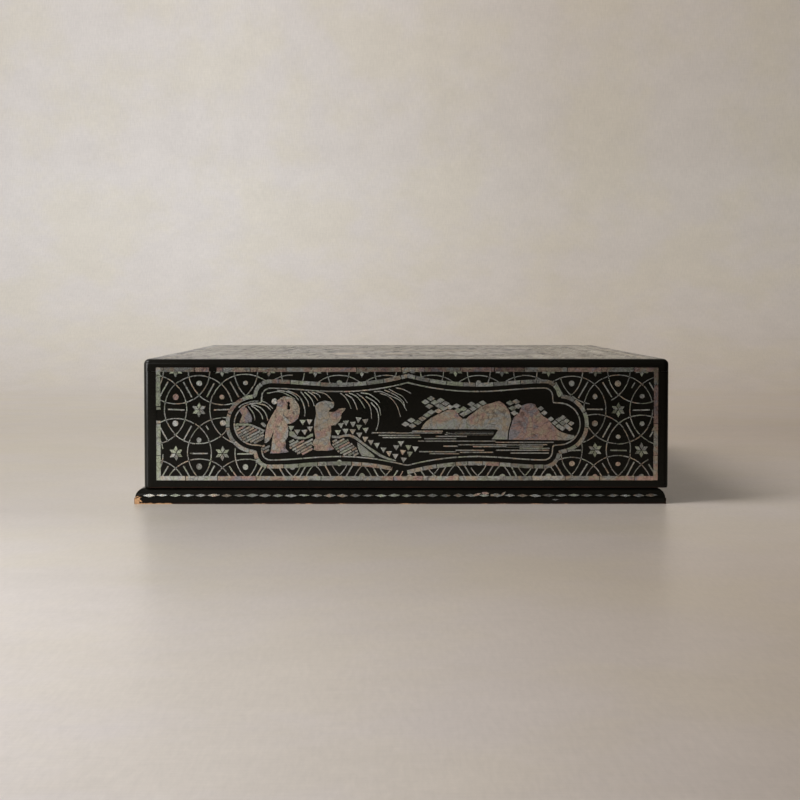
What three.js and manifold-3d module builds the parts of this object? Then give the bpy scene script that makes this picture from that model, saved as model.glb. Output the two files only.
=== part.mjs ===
// A lidded lacquer document box: a shallow wooden tray on a moulded plinth, under a deep cover that
// lifts straight off. The cover and the tray are pegged wooden boards, and thin bands of shell are
// let into the cover's five faces. Millimetres, +Z up, the front faces -Y, and the origin is the
// middle of the underside.
import * as THREE from "three";
import { mergeVertices } from "three/addons/utils/BufferGeometryUtils.js";
import { RoundedBoxGeometry } from "three/addons/geometries/RoundedBoxGeometry.js";
import Module from "manifold-3d";

const wasm = await Module();
wasm.setup();

// Cover: its outside size, its boards and the radius worn on its outer edges.
const coverWidth = 271.6;
const coverDepth = 360;
const coverHeight = 66.8;
const coverWall = 6.5;
const coverTop = 6.5;
const coverEdgeRadius = 3;
const rimCut = 1.6; // how much of that radius the cover's lower edges go without
const coverLap = 3.6; // what a long board keeps in front of a short board's end

// Tray: the boards that stand inside the cover, and how loosely the cover sits round them.
const coverPlay = 3.5;
const coverShift = 3.1; // the cover rests this far to the right of the plinth's middle
const trayWall = 6;
const trayRise = 48; // height of the tray's walls above the ledge that carries the cover
const trayLap = 3;
const floorThickness = 7;

// Plinth moulding: a rounded ledge over a square edge, carried round the tray's foot.
const plinthHeight = 8.2;
const plinthProjection = 1.75; // beyond a centred cover
const ovoloWidth = 5.4;
const plinthSquare = 3.1; // height of the upright edge under the rounded one
const ovoloStep = 0.4;
const ovoloSteps = 7;

// Wooden pegs through the corner laps.
const pegRadius = 1.2;
const pegLength = 10;
const pegClearance = 0.1;
const pegInset = 14; // from the ends of the board to the first and last peg
const pegDepth = 0.8; // the lacquer's ground covers each peg by this
const pegSides = 10;

// Shell: a border along each face's edges and a cartouche inside it, both flush with the lacquer.
const shellThickness = 0.3;
const shellSeat = 0.02; // glue under the shell
const shellPlay = 0.05; // glue round the shell
const stripWidth = 2.2;
const borderEndMargin = 6.1; // from a wall's corner to its border
const borderUpperMargin = 4.5; // from a wall's upper edge to its border
const borderLowerMargin = 3.9;
const borderShift = 0.45; // a wall's border lies this far to the right of its middle
const topBorderMargin = 9;
const bandWidth = 2.2;
const peakClearance = 0.9; // between the border and the cartouche's point
const cartoucheReach = 36.8; // from the border's end to the cartouche's tip
const topPeakClearance = 25;
const topCartoucheReach = 21;

// Cartouche: a long panel with a round lobe at each end, a smaller round shoulder behind each lobe,
// and long edges that dip and then rise to a point in the middle. All are shares of the height from
// its middle to that point.
const dipShare = 0.812;
const shoulderRiseShare = 0.072;
const lobeShare = 0.572;
const shoulderShare = 0.304;
const arcChord = 4; // longest straight part of a lobe or shoulder
const edgeChord = 8; // longest straight part of a long edge

const glueLine = 0.1; // between boards that are glued face to face
const mitreGap = 0.3;
const cutOvershoot = 0.5; // how far a groove's cutter stands out of the face
const edgeSegments = 4;

const coverBottom = plinthHeight;
const coverBoardTop = coverBottom + coverHeight - coverTop;
const trayHalfX = coverWidth / 2 - coverWall - coverPlay;
const trayHalfY = coverDepth / 2 - coverWall - coverPlay;
const trayTop = plinthHeight + trayRise;

const lacquer = new THREE.MeshStandardMaterial({ color: 0x100f0e, roughness: 0.22, metalness: 0 });
const innerLacquer = new THREE.MeshStandardMaterial({ color: 0x171412, roughness: 0.35, metalness: 0 });
const bareWood = new THREE.MeshStandardMaterial({ color: 0xb98a5e, roughness: 0.7, metalness: 0 });
const shell = new THREE.MeshStandardMaterial({ color: 0xa79c88, roughness: 0.25, metalness: 0 });

const box = new THREE.Group();

function addMesh(name, geometry, material) {
  const mesh = new THREE.Mesh(geometry, material);
  mesh.name = name;
  box.add(mesh);
  return mesh;
}

function toSolid(geometry) {
  const bare = geometry.index ? geometry.toNonIndexed() : geometry.clone();
  bare.deleteAttribute("normal");
  bare.deleteAttribute("uv");
  const merged = mergeVertices(bare, 1e-4);
  return new wasm.Manifold(
    new wasm.Mesh({
      numProp: 3,
      vertProperties: merged.attributes.position.array,
      triVerts: new Uint32Array(merged.index.array),
    }),
  );
}

function toGeometry(solid) {
  const mesh = solid.getMesh();
  const geometry = new THREE.BufferGeometry();
  geometry.setAttribute("position", new THREE.BufferAttribute(mesh.vertProperties, 3));
  geometry.setIndex(new THREE.BufferAttribute(mesh.triVerts, 1));
  return geometry;
}

// A block between two corners.
function block(low, high) {
  const size = high.map((value, axis) => value - low[axis]);
  const geometry = new THREE.BoxGeometry(...size);
  geometry.translate(...low.map((value, axis) => value + size[axis] / 2));
  return geometry;
}

// A board that stands on edge, from its plan outline.
function standingBoard(outline, bottom, top) {
  const plan = new THREE.Shape(outline.map(([x, y]) => new THREE.Vector2(x, y)));
  const geometry = new THREE.ExtrudeGeometry(plan, { depth: top - bottom, bevelEnabled: false });
  geometry.translate(0, 0, bottom);
  return geometry;
}

// Plan of a long board whose ends lap over the ends of the short boards, for the side at -Y.
function lappedOutline(halfX, outerY, wall, lap, middleX) {
  const inner = halfX - wall - glueLine;
  return [
    [-halfX, outerY],
    [halfX, outerY],
    [halfX, outerY + lap],
    [inner, outerY + lap],
    [inner, outerY + wall],
    [-inner, outerY + wall],
    [-inner, outerY + lap],
    [-halfX, outerY + lap],
  ].map(([x, y]) => [x + middleX, y]);
}

// The same board turned half round, for the side at +Y.
function turnedRound(outline, middleX) {
  return outline.map(([x, y]) => [2 * middleX - x, -y]);
}

// Pegs run front to back through a lap into the end of a short board.
function pegPlaces(halfX, wall, bottom, top) {
  const places = [];
  for (const side of [-1, 1]) {
    for (const z of [bottom + pegInset, top - pegInset]) {
      places.push([side * (halfX - wall / 2), z]);
    }
  }
  return places;
}

// A peg, or its hole, from a lap's outer part inwards; towards is -1 at the front and 1 at the back.
function pegRod(x, z, outerY, towards, radius, length) {
  const geometry = new THREE.CylinderGeometry(radius, radius, length, pegSides);
  geometry.translate(x, outerY - (towards * length) / 2, z);
  return geometry;
}

// Four boards round a rectangle, with pegs at their corners. Each board goes through shape, which
// gives it what its outline and height leave out.
function addWalls(prefix, names, size) {
  const { halfX, halfY, wall, lap, bottom, top, middleX, finish, shape } = size;
  const long = lappedOutline(halfX, -halfY, wall, lap, middleX);
  const plans = { front: long, back: turnedRound(long, middleX) };
  const places = pegPlaces(halfX, wall, bottom, top);
  for (const [end, towards] of [["front", -1], ["back", 1]]) {
    let board = shape(standingBoard(plans[end], bottom, top));
    places.forEach(([x, z], index) => {
      const start = towards * (halfY - pegDepth);
      const hole = pegRod(x + middleX, z, start, towards, pegRadius + pegClearance, pegLength);
      board = board.subtract(toSolid(hole));
      const place = `${x < 0 ? "left" : "right"}_${z < (bottom + top) / 2 ? "low" : "high"}`;
      const pegStart = start - towards * pegClearance;
      const peg = pegRod(x + middleX, z, pegStart, towards, pegRadius, pegLength - 2 * pegClearance);
      addMesh(`${prefix}_peg_${end}_${place}`, peg, bareWood);
    });
    addMesh(`${prefix}_${end}_${names}`, toGeometry(board), finish);
  }
  for (const [end, side] of [["left", -1], ["right", 1]]) {
    const nearX = side * (halfX - wall);
    const farX = side * halfX;
    const halfLength = halfY - lap - glueLine;
    let board = shape(
      block(
        [Math.min(nearX, farX) + middleX, -halfLength, bottom],
        [Math.max(nearX, farX) + middleX, halfLength, top],
      ),
    );
    for (const towards of [-1, 1]) {
      for (const [x, z] of places.filter(([px]) => px * side > 0)) {
        const start = towards * (halfY - pegDepth);
        const hole = pegRod(x + middleX, z, start, towards, pegRadius + pegClearance, pegLength);
        board = board.subtract(toSolid(hole));
      }
    }
    addMesh(`${prefix}_${end}_${names}`, toGeometry(board), finish);
  }
}

// Cover: a top board over four walls, all worn round by the same radius outside, with the grooves
// that hold the shell.
function addCover(grooves) {
  const rounded = new RoundedBoxGeometry(
    coverWidth,
    coverDepth,
    coverHeight + rimCut,
    edgeSegments,
    coverEdgeRadius,
  );
  rounded.translate(coverShift, 0, coverBottom + (coverHeight - rimCut) / 2);
  const envelope = toSolid(rounded);
  const shape = (geometry) => toSolid(geometry).intersect(envelope).subtract(grooves);
  addWalls("cover", "board", {
    halfX: coverWidth / 2,
    halfY: coverDepth / 2,
    wall: coverWall,
    lap: coverLap,
    bottom: coverBottom,
    top: coverBoardTop,
    middleX: coverShift,
    finish: lacquer,
    shape,
  });
  const topBlock = block(
    [coverShift - coverWidth / 2, -coverDepth / 2, coverBoardTop + glueLine],
    [coverShift + coverWidth / 2, coverDepth / 2, coverBottom + coverHeight],
  );
  addMesh("cover_top_board", toGeometry(shape(topBlock)), lacquer);
}

// Tray: four walls with the floor board let in between them.
function addTray() {
  addWalls("tray", "wall", {
    halfX: trayHalfX,
    halfY: trayHalfY,
    wall: trayWall,
    lap: trayLap,
    bottom: 0,
    top: trayTop,
    middleX: 0,
    finish: innerLacquer,
    shape: toSolid,
  });
  const floorX = trayHalfX - trayWall - glueLine;
  const floorY = trayHalfY - trayWall - glueLine;
  addMesh(
    "tray_floor",
    block([-floorX, -floorY, 0], [floorX, floorY, floorThickness]),
    innerLacquer,
  );
}

// Section of the plinth moulding: [distance out from the tray's middle, height].
function plinthSection(trayHalf, coverHalf) {
  const outer = coverHalf + plinthProjection;
  const inner = trayHalf + glueLine;
  const rise = plinthHeight - plinthSquare;
  const points = [
    [inner, 0],
    [outer, 0],
    [outer, plinthSquare],
  ];
  for (let step = 0; step <= ovoloSteps; step += 1) {
    const turn = ((step / ovoloSteps) * Math.PI) / 2;
    points.push([
      outer - ovoloWidth + (ovoloWidth - ovoloStep) * Math.cos(turn),
      plinthSquare + rise * Math.sin(turn),
    ]);
  }
  points.push([inner, plinthHeight]);
  return points;
}

// A moulding with mitred ends. Its section's points run out from the middle, and each end is cut
// along the diagonal, so that a point lies further along the further out it is.
function mitredStrip(section, cornerOffset) {
  const count = section.length;
  const positions = [];
  for (const end of [-1, 1]) {
    for (const [out, height] of section) {
      positions.push(end * (out + cornerOffset - mitreGap / Math.SQRT2), -out, height);
    }
  }
  const contour = section.map(([out, height]) => new THREE.Vector2(out, height));
  const index = [];
  for (const [a, b, c] of THREE.ShapeUtils.triangulateShape(contour, [])) {
    index.push(a, b, c, a + count, c + count, b + count);
  }
  for (let i = 0; i < count; i += 1) {
    const next = (i + 1) % count;
    index.push(i, i + count, next, next, i + count, next + count);
  }
  const geometry = new THREE.BufferGeometry();
  geometry.setAttribute("position", new THREE.Float32BufferAttribute(positions, 3));
  geometry.setIndex(index);
  return geometry;
}

function addPlinth() {
  const ends = plinthSection(trayHalfY, coverDepth / 2);
  const sides = plinthSection(trayHalfX, coverWidth / 2);
  const endReach = (coverWidth - coverDepth) / 2;
  const strips = [
    ["plinth_front_moulding", ends, endReach, 0],
    ["plinth_right_moulding", sides, -endReach, Math.PI / 2],
    ["plinth_back_moulding", ends, endReach, Math.PI],
    ["plinth_left_moulding", sides, -endReach, -Math.PI / 2],
  ];
  for (const [name, section, reach, turn] of strips) {
    const geometry = mitredStrip(section, reach);
    geometry.rotateZ(turn);
    addMesh(name, geometry, lacquer);
  }
}

// One quarter of the outline, from the middle of the upper edge to the lobe's tip.
function cartoucheQuarter(halfLength, peak) {
  const dip = peak * dipShare;
  const lobe = peak * lobeShare;
  const shoulder = peak * shoulderShare;
  const shoulderRise = peak * shoulderRiseShare;
  const lobeX = halfLength - lobe;
  const edgeEnd = lobeX - shoulder;
  const shoulderReach = dip + shoulderRise - lobe;
  const edgeSteps = 2 * Math.ceil(edgeEnd / edgeChord / 2);
  const shoulderSteps = Math.ceil((Math.max(shoulder, shoulderReach) * Math.PI) / 2 / arcChord);
  const lobeSteps = Math.ceil((lobe * Math.PI) / 2 / arcChord);
  const points = [];
  for (let step = 0; step < edgeSteps; step += 1) {
    const along = step / edgeSteps;
    const rise = along < 0.5
      ? (peak - dip) * (1 - along * 2) ** 2
      : shoulderRise * (1 - Math.cos((along - 0.5) * 2 * Math.PI)) * 0.5;
    points.push([along * edgeEnd, dip + rise]);
  }
  for (let step = 0; step < shoulderSteps; step += 1) {
    const turn = ((step / shoulderSteps) * Math.PI) / 2;
    points.push([edgeEnd + shoulder * Math.sin(turn), lobe + shoulderReach * Math.cos(turn)]);
  }
  for (let step = 0; step <= lobeSteps; step += 1) {
    const turn = ((step / lobeSteps) * Math.PI) / 2;
    points.push([lobeX + lobe * Math.sin(turn), lobe * Math.cos(turn)]);
  }
  return points;
}

function cartoucheOutline(halfLength, peak) {
  const quarter = cartoucheQuarter(halfLength, peak);
  const half = quarter.concat(quarter.slice(0, -1).reverse().map(([x, y]) => [x, -y]));
  const other = half.slice(1, -1).reverse().map(([x, y]) => [-x, y]);
  return half.concat(other).reverse();
}

// The outline moved outwards by a distance, corner by corner.
function offsetOutline(points, distance) {
  const count = points.length;
  return points.map(([x, y], i) => {
    const before = points[(i + count - 1) % count];
    const after = points[(i + 1) % count];
    const first = new THREE.Vector2(y - before[1], before[0] - x).normalize();
    const second = new THREE.Vector2(after[1] - y, x - after[0]).normalize();
    const middle = first.clone().add(second).normalize();
    const reach = distance / Math.max(0.5, middle.dot(second));
    return [x + middle.x * reach, y + middle.y * reach];
  });
}

// A flat ring along an outline, as wide as given and from one height to another.
function ringGeometry(outline, width, low, high) {
  const loop = (side) => offsetOutline(outline, (side * width) / 2)
    .map(([x, y]) => new THREE.Vector2(x, y));
  const ring = new THREE.Shape(loop(1));
  ring.holes.push(new THREE.Path(loop(-1)));
  const geometry = new THREE.ExtrudeGeometry(ring, { depth: high - low, bevelEnabled: false });
  geometry.translate(0, 0, low);
  return geometry;
}

function rectangle(halfX, halfY) {
  return [
    [-halfX, -halfY],
    [halfX, -halfY],
    [halfX, halfY],
    [-halfX, halfY],
  ];
}

// Shell in one face, and the grooves that it lies in. The face's own frame has x to the right, y up
// and z out of the face. The face is given by half its border's length and height.
function addFaceShell(face, halfX, halfY, clearance, reach, place) {
  const peak = halfY - stripWidth - clearance - bandWidth / 2;
  const rings = {
    border: [rectangle(halfX - stripWidth / 2, halfY - stripWidth / 2), stripWidth],
    cartouche: [cartoucheOutline(halfX - reach, peak), bandWidth],
  };
  return Object.entries(rings).map(([kind, [outline, width]]) => {
    const ring = ringGeometry(outline, width, -shellThickness, 0);
    place(ring);
    addMesh(`shell_${face}_${kind}`, ring, shell);
    const groove = ringGeometry(
      outline,
      width + 2 * shellPlay,
      -shellThickness - shellSeat,
      cutOvershoot,
    );
    place(groove);
    return toSolid(groove);
  });
}

function addShell() {
  const halfHeight = (coverHeight - borderUpperMargin - borderLowerMargin) / 2;
  const middleZ = coverBottom + borderLowerMargin + halfHeight;
  const endHalfX = coverWidth / 2 - borderEndMargin;
  const sideHalfX = coverDepth / 2 - borderEndMargin;
  const upright = (turn, out) => (geometry) => {
    geometry.rotateX(Math.PI / 2);
    geometry.translate(borderShift, -out, 0);
    geometry.rotateZ(turn);
    geometry.translate(coverShift, 0, middleZ);
  };
  const lie = (geometry) => {
    geometry.rotateZ(Math.PI / 2);
    geometry.translate(coverShift, 0, coverBottom + coverHeight);
  };
  const walls = [
    ["front", endHalfX, 0, coverDepth / 2],
    ["right", sideHalfX, Math.PI / 2, coverWidth / 2],
    ["back", endHalfX, Math.PI, coverDepth / 2],
    ["left", sideHalfX, -Math.PI / 2, coverWidth / 2],
  ];
  const cutters = walls.flatMap(([face, halfX, turn, out]) =>
    addFaceShell(face, halfX, halfHeight, peakClearance, cartoucheReach, upright(turn, out)),
  );
  cutters.push(
    ...addFaceShell(
      "top",
      coverDepth / 2 - topBorderMargin,
      coverWidth / 2 - topBorderMargin,
      topPeakClearance,
      topCartoucheReach,
      lie,
    ),
  );
  return wasm.Manifold.union(cutters);
}

addCover(addShell());
addTray();
addPlinth();

export default box;
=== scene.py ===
"""Dresses the lacquer document box: lacquered boards, inlaid shell, floor, lamps and camera.

Drawn sizes are millimetres in a face's own frame, with x to the right and y up from the middle of
the face. Whatever Blender holds is in metres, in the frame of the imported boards.
"""
import math
import random
from functools import partial

import bmesh
import bpy
from mathutils import Matrix, Vector
from mathutils.geometry import tessellate_polygon


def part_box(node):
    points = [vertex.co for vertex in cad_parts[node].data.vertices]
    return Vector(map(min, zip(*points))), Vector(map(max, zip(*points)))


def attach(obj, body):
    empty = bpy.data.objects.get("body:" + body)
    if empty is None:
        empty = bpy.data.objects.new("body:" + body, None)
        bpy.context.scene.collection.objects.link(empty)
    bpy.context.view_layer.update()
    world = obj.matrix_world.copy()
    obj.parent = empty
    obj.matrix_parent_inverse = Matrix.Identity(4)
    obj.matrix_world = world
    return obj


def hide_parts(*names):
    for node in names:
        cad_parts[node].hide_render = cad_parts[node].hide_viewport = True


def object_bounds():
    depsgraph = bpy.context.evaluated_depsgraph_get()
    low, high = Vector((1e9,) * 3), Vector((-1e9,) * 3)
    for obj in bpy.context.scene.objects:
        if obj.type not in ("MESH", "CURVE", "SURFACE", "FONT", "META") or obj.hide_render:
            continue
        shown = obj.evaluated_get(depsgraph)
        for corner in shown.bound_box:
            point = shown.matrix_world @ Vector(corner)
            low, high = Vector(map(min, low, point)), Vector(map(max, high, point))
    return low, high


bl_info = {
    "name": "Lacquer Document Box",
    "version": (1, 0, 0),
    "blender": (4, 5, 0),
    "location": "View3D > Sidebar > Lacquer Box",
    "description": "Finishes a shell-inlaid lacquer box round its packed boards",
    "category": "Object",
}

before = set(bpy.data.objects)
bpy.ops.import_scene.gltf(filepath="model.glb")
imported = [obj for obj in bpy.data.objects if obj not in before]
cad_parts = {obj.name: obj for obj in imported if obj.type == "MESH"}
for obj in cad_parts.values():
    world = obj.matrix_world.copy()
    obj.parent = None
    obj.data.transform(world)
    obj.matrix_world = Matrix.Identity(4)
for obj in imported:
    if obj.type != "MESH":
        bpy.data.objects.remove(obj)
cad_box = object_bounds()

MM = 0.001

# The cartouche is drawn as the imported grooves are, in shares of the height of its point.
STRIP_WIDTH = 2.2
GROOVE_WIDTH = 2.2
BAND_WIDTH = 2.0
INNER_LINE = 3.5
DIP_SHARE = 0.812
SHOULDER_RISE_SHARE = 0.072
LOBE_SHARE = 0.572
SHOULDER_SHARE = 0.304
ARC_CHORD = 1.3
EDGE_CHORD = 4

# The diaper's rows lie this share of its pitch apart. On the front a star stands here.
ROW_SHARE = math.sqrt(3) / 2
LATTICE_CENTRE = (0.8, -13.5)
RING_SIDES = 150

# A star's leaves: how far out each one's middle lies, its length and its width, as shares of the star.
RHOMB_PLACE = 0.53
RHOMB_LENGTH = 0.94
RHOMB_WIDTH = 0.5

# How unevenly the diaper was set out: errors in mm, turns in radians, and sizes as factors.
MIDDLE_ERROR = 0.35
RADIUS_ERROR = 0.4
BAR_TURN = 0.04
BAR_LENGTHS = (0.85, 1.06)
DOT_LENGTHS = (0.82, 1.12)
DOT_WIDTHS = (0.85, 1.12)

# The front's lower stars on the left, beyond these places, were set out lower than the rest.
SAGGING = (-60, -10)
SAG = 1.7

# Where the front has lost shell: up its border's left side, along its top, and in the cartouche's
# band below.
LOST_AT_LEFT = (1.7, 7.5)
LOST_ABOVE = (-102.4, -98.4)
LOST_BELOW = (-7.6, -3.1)

# How far the underside of each kind of shell lies under the face: in its groove, or glued on.
GROOVE_SEAT = 0.28
GLUED_SEAT = 0.02

# Fine pieces stand less proud than the grooved bands, so that they run under them.
LINE_SHARE = 0.7

# The plinth's lozenges: behind the moulding's front, above its foot, their tilt in degrees, how deep
# they are set, and the limits of their length and width.
LOZENGE_DEPTH = 0.55
LOZENGE_HEIGHT = 4.35
LOZENGE_TILT = -14
LOZENGE_SEAT = 0.12
LOZENGE_LENGTHS = (5.2, 6.8)
LOZENGE_WIDTHS = (1.1, 1.9)

# In metres: how wide the lacquer is worn along the cover's and the foot's arrises, how high the foot is
# chipped, and how far round its front corner. Packed faces are creased where they turn more than the
# crease angle, in degrees.
COVER_WEAR = 0.7 * MM
FOOT_WEAR = 0.9 * MM
CHIP_HEIGHT = 4 * MM
KNOCKED_REACH = 10 * MM
CREASE_ANGLE = 35

# The photograph's camera: its place in metres, its focal length and its picture's width in pixels, and
# by how many pixels it is turned right and down.
CAMERA_PLACE = (-0.0041, -1.145, 0.1013)
FOCAL_PIXELS = 1870
PICTURE_PIXELS = 800
CAMERA_TURN = (7.6, 92.15)

# The canvas sweep, in metres: how far it comes forward, where its cove starts, how it rises, and how far
# it reaches to each side. The wall stands so far back that a camera can go round the box inside it.
SWEEP_FRONT = 0.8
SWEEP_BACK = 1.0
SWEEP_COVE = 0.3
SWEEP_HEIGHT = 2.2
SWEEP_REACH = 2.5
COVE_STEPS = 16

# The canvas's paint, as factors on each channel of the floor's colour: its cooler and warmer clouds, and
# the light and shade painted along the sweep from the front edge up the wall, for each side. The span is in
# metres.
CANVAS_COOL = (1.0, 0.99, 1.01)
CANVAS_WARM = (1.0, 0.985, 0.945)
PAINTED_LIGHT_SPAN = (-0.75, 1.8)
PAINTED_LIGHT_SIDES = (-0.22, 0.22)
CANVAS_PAINTED_LIGHT = [
    [
        (0.0, (1.16, 1.19, 1.27)),
        (0.12, (0.62, 0.63, 0.63)),
        (0.21, (0.51, 0.5, 0.48)),
        (0.42, (0.73, 0.7, 0.63)),
        (0.69, (0.85, 0.84, 0.8)),
        (0.91, (1.0, 1.04, 1.07)),
        (1.0, (0.85, 0.87, 0.88)),
    ],
    [
        (0.0, (0.38, 0.3, 0.2)),
        (0.12, (0.6, 0.53, 0.45)),
        (0.21, (0.73, 0.69, 0.65)),
        (0.42, (0.72, 0.64, 0.55)),
        (0.69, (0.75, 0.7, 0.64)),
        (0.91, (0.79, 0.79, 0.76)),
        (1.0, (0.67, 0.65, 0.61)),
    ],
]

# Lamps: name, place, target, width and height, and power. The last one lights the wall only.
LAMPS = [
    ("key", (-0.85, -0.38, 1.2), (0.6, 0.62, 0.3), (0.9, 0.9), 20.5),
    ("left_panel", (-0.56, -0.5, 0.14), (-0.1, -0.18, 0.05), (0.3, 0.24), 2.2),
    ("low_fill", (-0.37, -0.46, 0.19), (-0.1, -0.18, 0.04), (0.14, 0.14), 0.45),
    ("foreground", (-0.4, -0.98, 0.5), (-0.14, -0.82, 0), (0.3, 0.3), 1.1),
    ("backdrop", (0, 0.45, 1.4), (0, 2, 1.4), (1.6, 0.4), 14),
]

# How bright the room is where neither the eye nor a mirror looks.
ROOM_LIGHT = 0.02

# Each kind of piece: the limits of its tone, from green at 0 to violet at 1, and of its brightness.
TINTS = {
    # Border strips carry painted light and shade by side: the left ones, also greener, and the bottom ones
    # are brighter, the right and top ones darker.
    "border": ((0.42, 0.78), (0.5, 1.1)),
    "green_border": ((0.08, 0.38), (0.85, 1.3)),
    "pale_border": ((0.3, 0.75), (0.9, 1.5)),
    "band": ((0.15, 0.6), (0.7, 1.25)),
    "line": ((0.3, 0.42), (0.9, 1.4)),
    "circle": ((0.3, 0.42), (0.75, 1.3)),
    "bar": ((0.3, 0.42), (0.9, 1.35)),
    "dot": ((0.25, 0.65), (0.9, 1.5)),
    "star": ((-0.1, 0.3), (0.6, 1.5)),
    "grass": ((0.25, 0.42), (1.0, 1.7)),
    "cloud": ((0.22, 0.42), (0.9, 1.5)),
    "field": ((0.2, 0.6), (0.7, 1.2)),
    "frond": ((0.28, 0.46), (1.0, 1.6)),
    "water": ((0.28, 0.5), (0.7, 1.25)),
    "scrap": ((0.5, 0.62), (1.1, 1.7)),
    "lozenge": ((0.3, 0.42), (0.6, 1.7)),
}

# Each face's directions to the right and up, seen from outside.
FACES = {
    "front": ((1, 0, 0), (0, 0, 1)),
    "right": ((0, 1, 0), (0, 0, 1)),
    "back": ((-1, 0, 0), (0, 0, 1)),
    "left": ((0, -1, 0), (0, 0, 1)),
    "top": ((0, 1, 0), (-1, 0, 0)),
}

# The front's picture, left part: two robed figures on a bank under willow.
WALKER = [
    (-66.7, 9), (-67, 7.6), (-67.8, 6.3), (-69.2, 4), (-70.8, 1.3), (-71.9, -1), (-72.5, -3.7),
    (-72.9, -6.3), (-73.1, -8.9), (-73.1, -10.3), (-72.3, -10.3), (-70.9, -9.3), (-69.8, -7.6),
    (-69, -5.3), (-68.4, -3.1), (-68.7, -5.8), (-69.1, -8.1), (-69.4, -10.3), (-69.6, -12.1),
    (-69.8, -13.7), (-70.3, -15.8), (-66.2, -15.7), (-62, -15.3), (-60.7, -14.9), (-62.5, -13),
    (-62.2, -11), (-62.5, -9.1), (-61.5, -7.9), (-61, -6.3), (-60.8, -4.2), (-61.1, -2.1),
    (-61.5, -0.6), (-59.6, -0.3), (-57.5, 0.7), (-55.9, 2.4), (-55.1, 4.8), (-54.9, 7.4),
    (-55.7, 9.8), (-57, 11.6), (-59.1, 13), (-61.2, 13.6), (-63.3, 13.7), (-64.9, 13), (-66.5, 11.6),
]
WALKER_SLEEVE = [
    (-61.5, 10.8), (-60.3, 11.1), (-59.9, 10), (-60.3, 9.1), (-59.6, 8.2), (-60.2, 7), (-61.5, 6.9),
    (-61.3, 8.4), (-61.1, 9.5),
]
CALLER = [
    (-46.6, 6.3), (-47, 8.6), (-46.1, 10.1), (-44.5, 10.9), (-42.2, 11.6), (-40.2, 11.1),
    (-37.2, 10.9), (-37.1, 9.6), (-37.4, 8.1), (-38.9, 7.2), (-39.9, 6.5), (-39.9, 5.7),
    (-36.9, 5.7), (-34.9, 7.2), (-33, 7.6), (-31.2, 7.6), (-31.7, 6.5), (-33.3, 4.9), (-33.6, 2.4),
    (-34.6, 0.7), (-36.6, -1.1), (-38.9, -1.4), (-38.7, -3.5), (-38.9, -6.2), (-39.4, -8.8),
    (-38.9, -11.4), (-37.2, -13.4), (-37.9, -13.9), (-40.5, -14.4), (-46.1, -14.4), (-47.8, -13.9),
    (-47.4, -12.1), (-48.9, -11.3), (-47.8, -9.1), (-46.8, -7.8), (-47.3, -5.2), (-47.6, -1.6),
    (-47.3, 1.7), (-46.5, 4.4),
]
WALKER_HAT = [
    (-66.4, 11.2), (-66.8, 12.3), (-67.9, 12.7), (-69.1, 12.2), (-69.5, 11.1), (-69.1, 10),
    (-68, 9.6), (-66.8, 10.1),
]
NEAR_HILL = [
    (-86.5, 6.6), (-85.2, 7.6), (-83.3, 8.2), (-82.5, 7.9), (-81.5, 6.3), (-80.2, 4.2),
    (-79.6, 2.4), (-79.9, 0.5), (-82.5, 0.1), (-86.1, 0.3), (-85.6, 1.6), (-85.2, 2.6),
    (-84.6, 4), (-85.2, 4.8), (-85.7, 5.8),
]
BANKS = [
    [(-88.5, -0.5), (-86.5, -0.2), (-81.5, -0.3), (-78.3, -1.3), (-75.7, -2.5), (-73.1, -3.7),
     (-73.3, -4.5), (-74.6, -4.1), (-76.7, -3.1), (-78.8, -2.2), (-81.5, -1.3), (-85.2, -1.4),
     (-88.3, -1.7)],
    [(-60.4, -4.2), (-58, -4.6), (-56.2, -7.1), (-51.8, -7.4), (-51.1, -6.8), (-49.4, -5.7),
     (-48.1, -5.4), (-48.1, -6.9), (-50.1, -7.7), (-52.4, -8.4), (-56.2, -8.5), (-58.8, -7.4),
     (-60.3, -6.6)],
    [(-38.4, -6.5), (-35.3, -6.8), (-31.3, -5.8), (-28.7, -5.9), (-25.7, -7.2), (-22.1, -10),
     (-18.2, -12.9), (-13.2, -16.2), (-8.9, -18.2), (-5.3, -19.3), (-5.3, -19.9), (-9.3, -19.2),
     (-13.6, -17.5), (-18.5, -14.2), (-22.4, -11.3), (-26.1, -8.6), (-29, -7.2), (-31.3, -7.1),
     (-34.6, -8), (-38.4, -7.8)],
    [(-25.4, -9.8), (-22.8, -11.6), (-19.8, -14.2), (-16.2, -17.2), (-16.5, -17.9), (-22.8, -17.1),
     (-23.6, -16), (-24.9, -13.1)],
    [(-75.2, -0.5), (-74.4, 0.4), (-73.4, 0), (-72.4, -1.3), (-72.8, -2.4), (-73.8, -1.8)],
]
FIELDS = [
    [(-88.1, -2.1), (-85.2, -1.7), (-81.5, -1.6), (-78.8, -2.5), (-76.7, -3.4), (-74.6, -4.4),
     (-73.4, -4.7), (-73.7, -8.9), (-76.2, -9.5), (-78.3, -10.8), (-79.6, -10), (-84.4, -9.5),
     (-85.7, -8.4), (-87.4, -5.8), (-88.1, -3.7)],
    [(-75.7, -10.3), (-73.6, -11.8), (-70.4, -11.2), (-71.1, -14.2), (-72.8, -15.7), (-74.6, -14.5)],
    [(-60.3, -8.4), (-58.3, -8.6), (-56.2, -9.2), (-51.6, -9.2), (-47.9, -7.6), (-49, -11.3),
     (-48.3, -13.4), (-51.6, -16), (-55.6, -16.4), (-60.1, -13.1)],
    [(-38.6, -8.8), (-34.6, -8.6), (-30.3, -8), (-29.4, -9.8), (-25.9, -12.1), (-24.3, -16.4),
     (-27.4, -17), (-32.6, -16.5), (-35.9, -14.7), (-38, -11.6)],
]
FIELD_ANGLE = 28
FIELD_PITCH = 1.42

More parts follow.
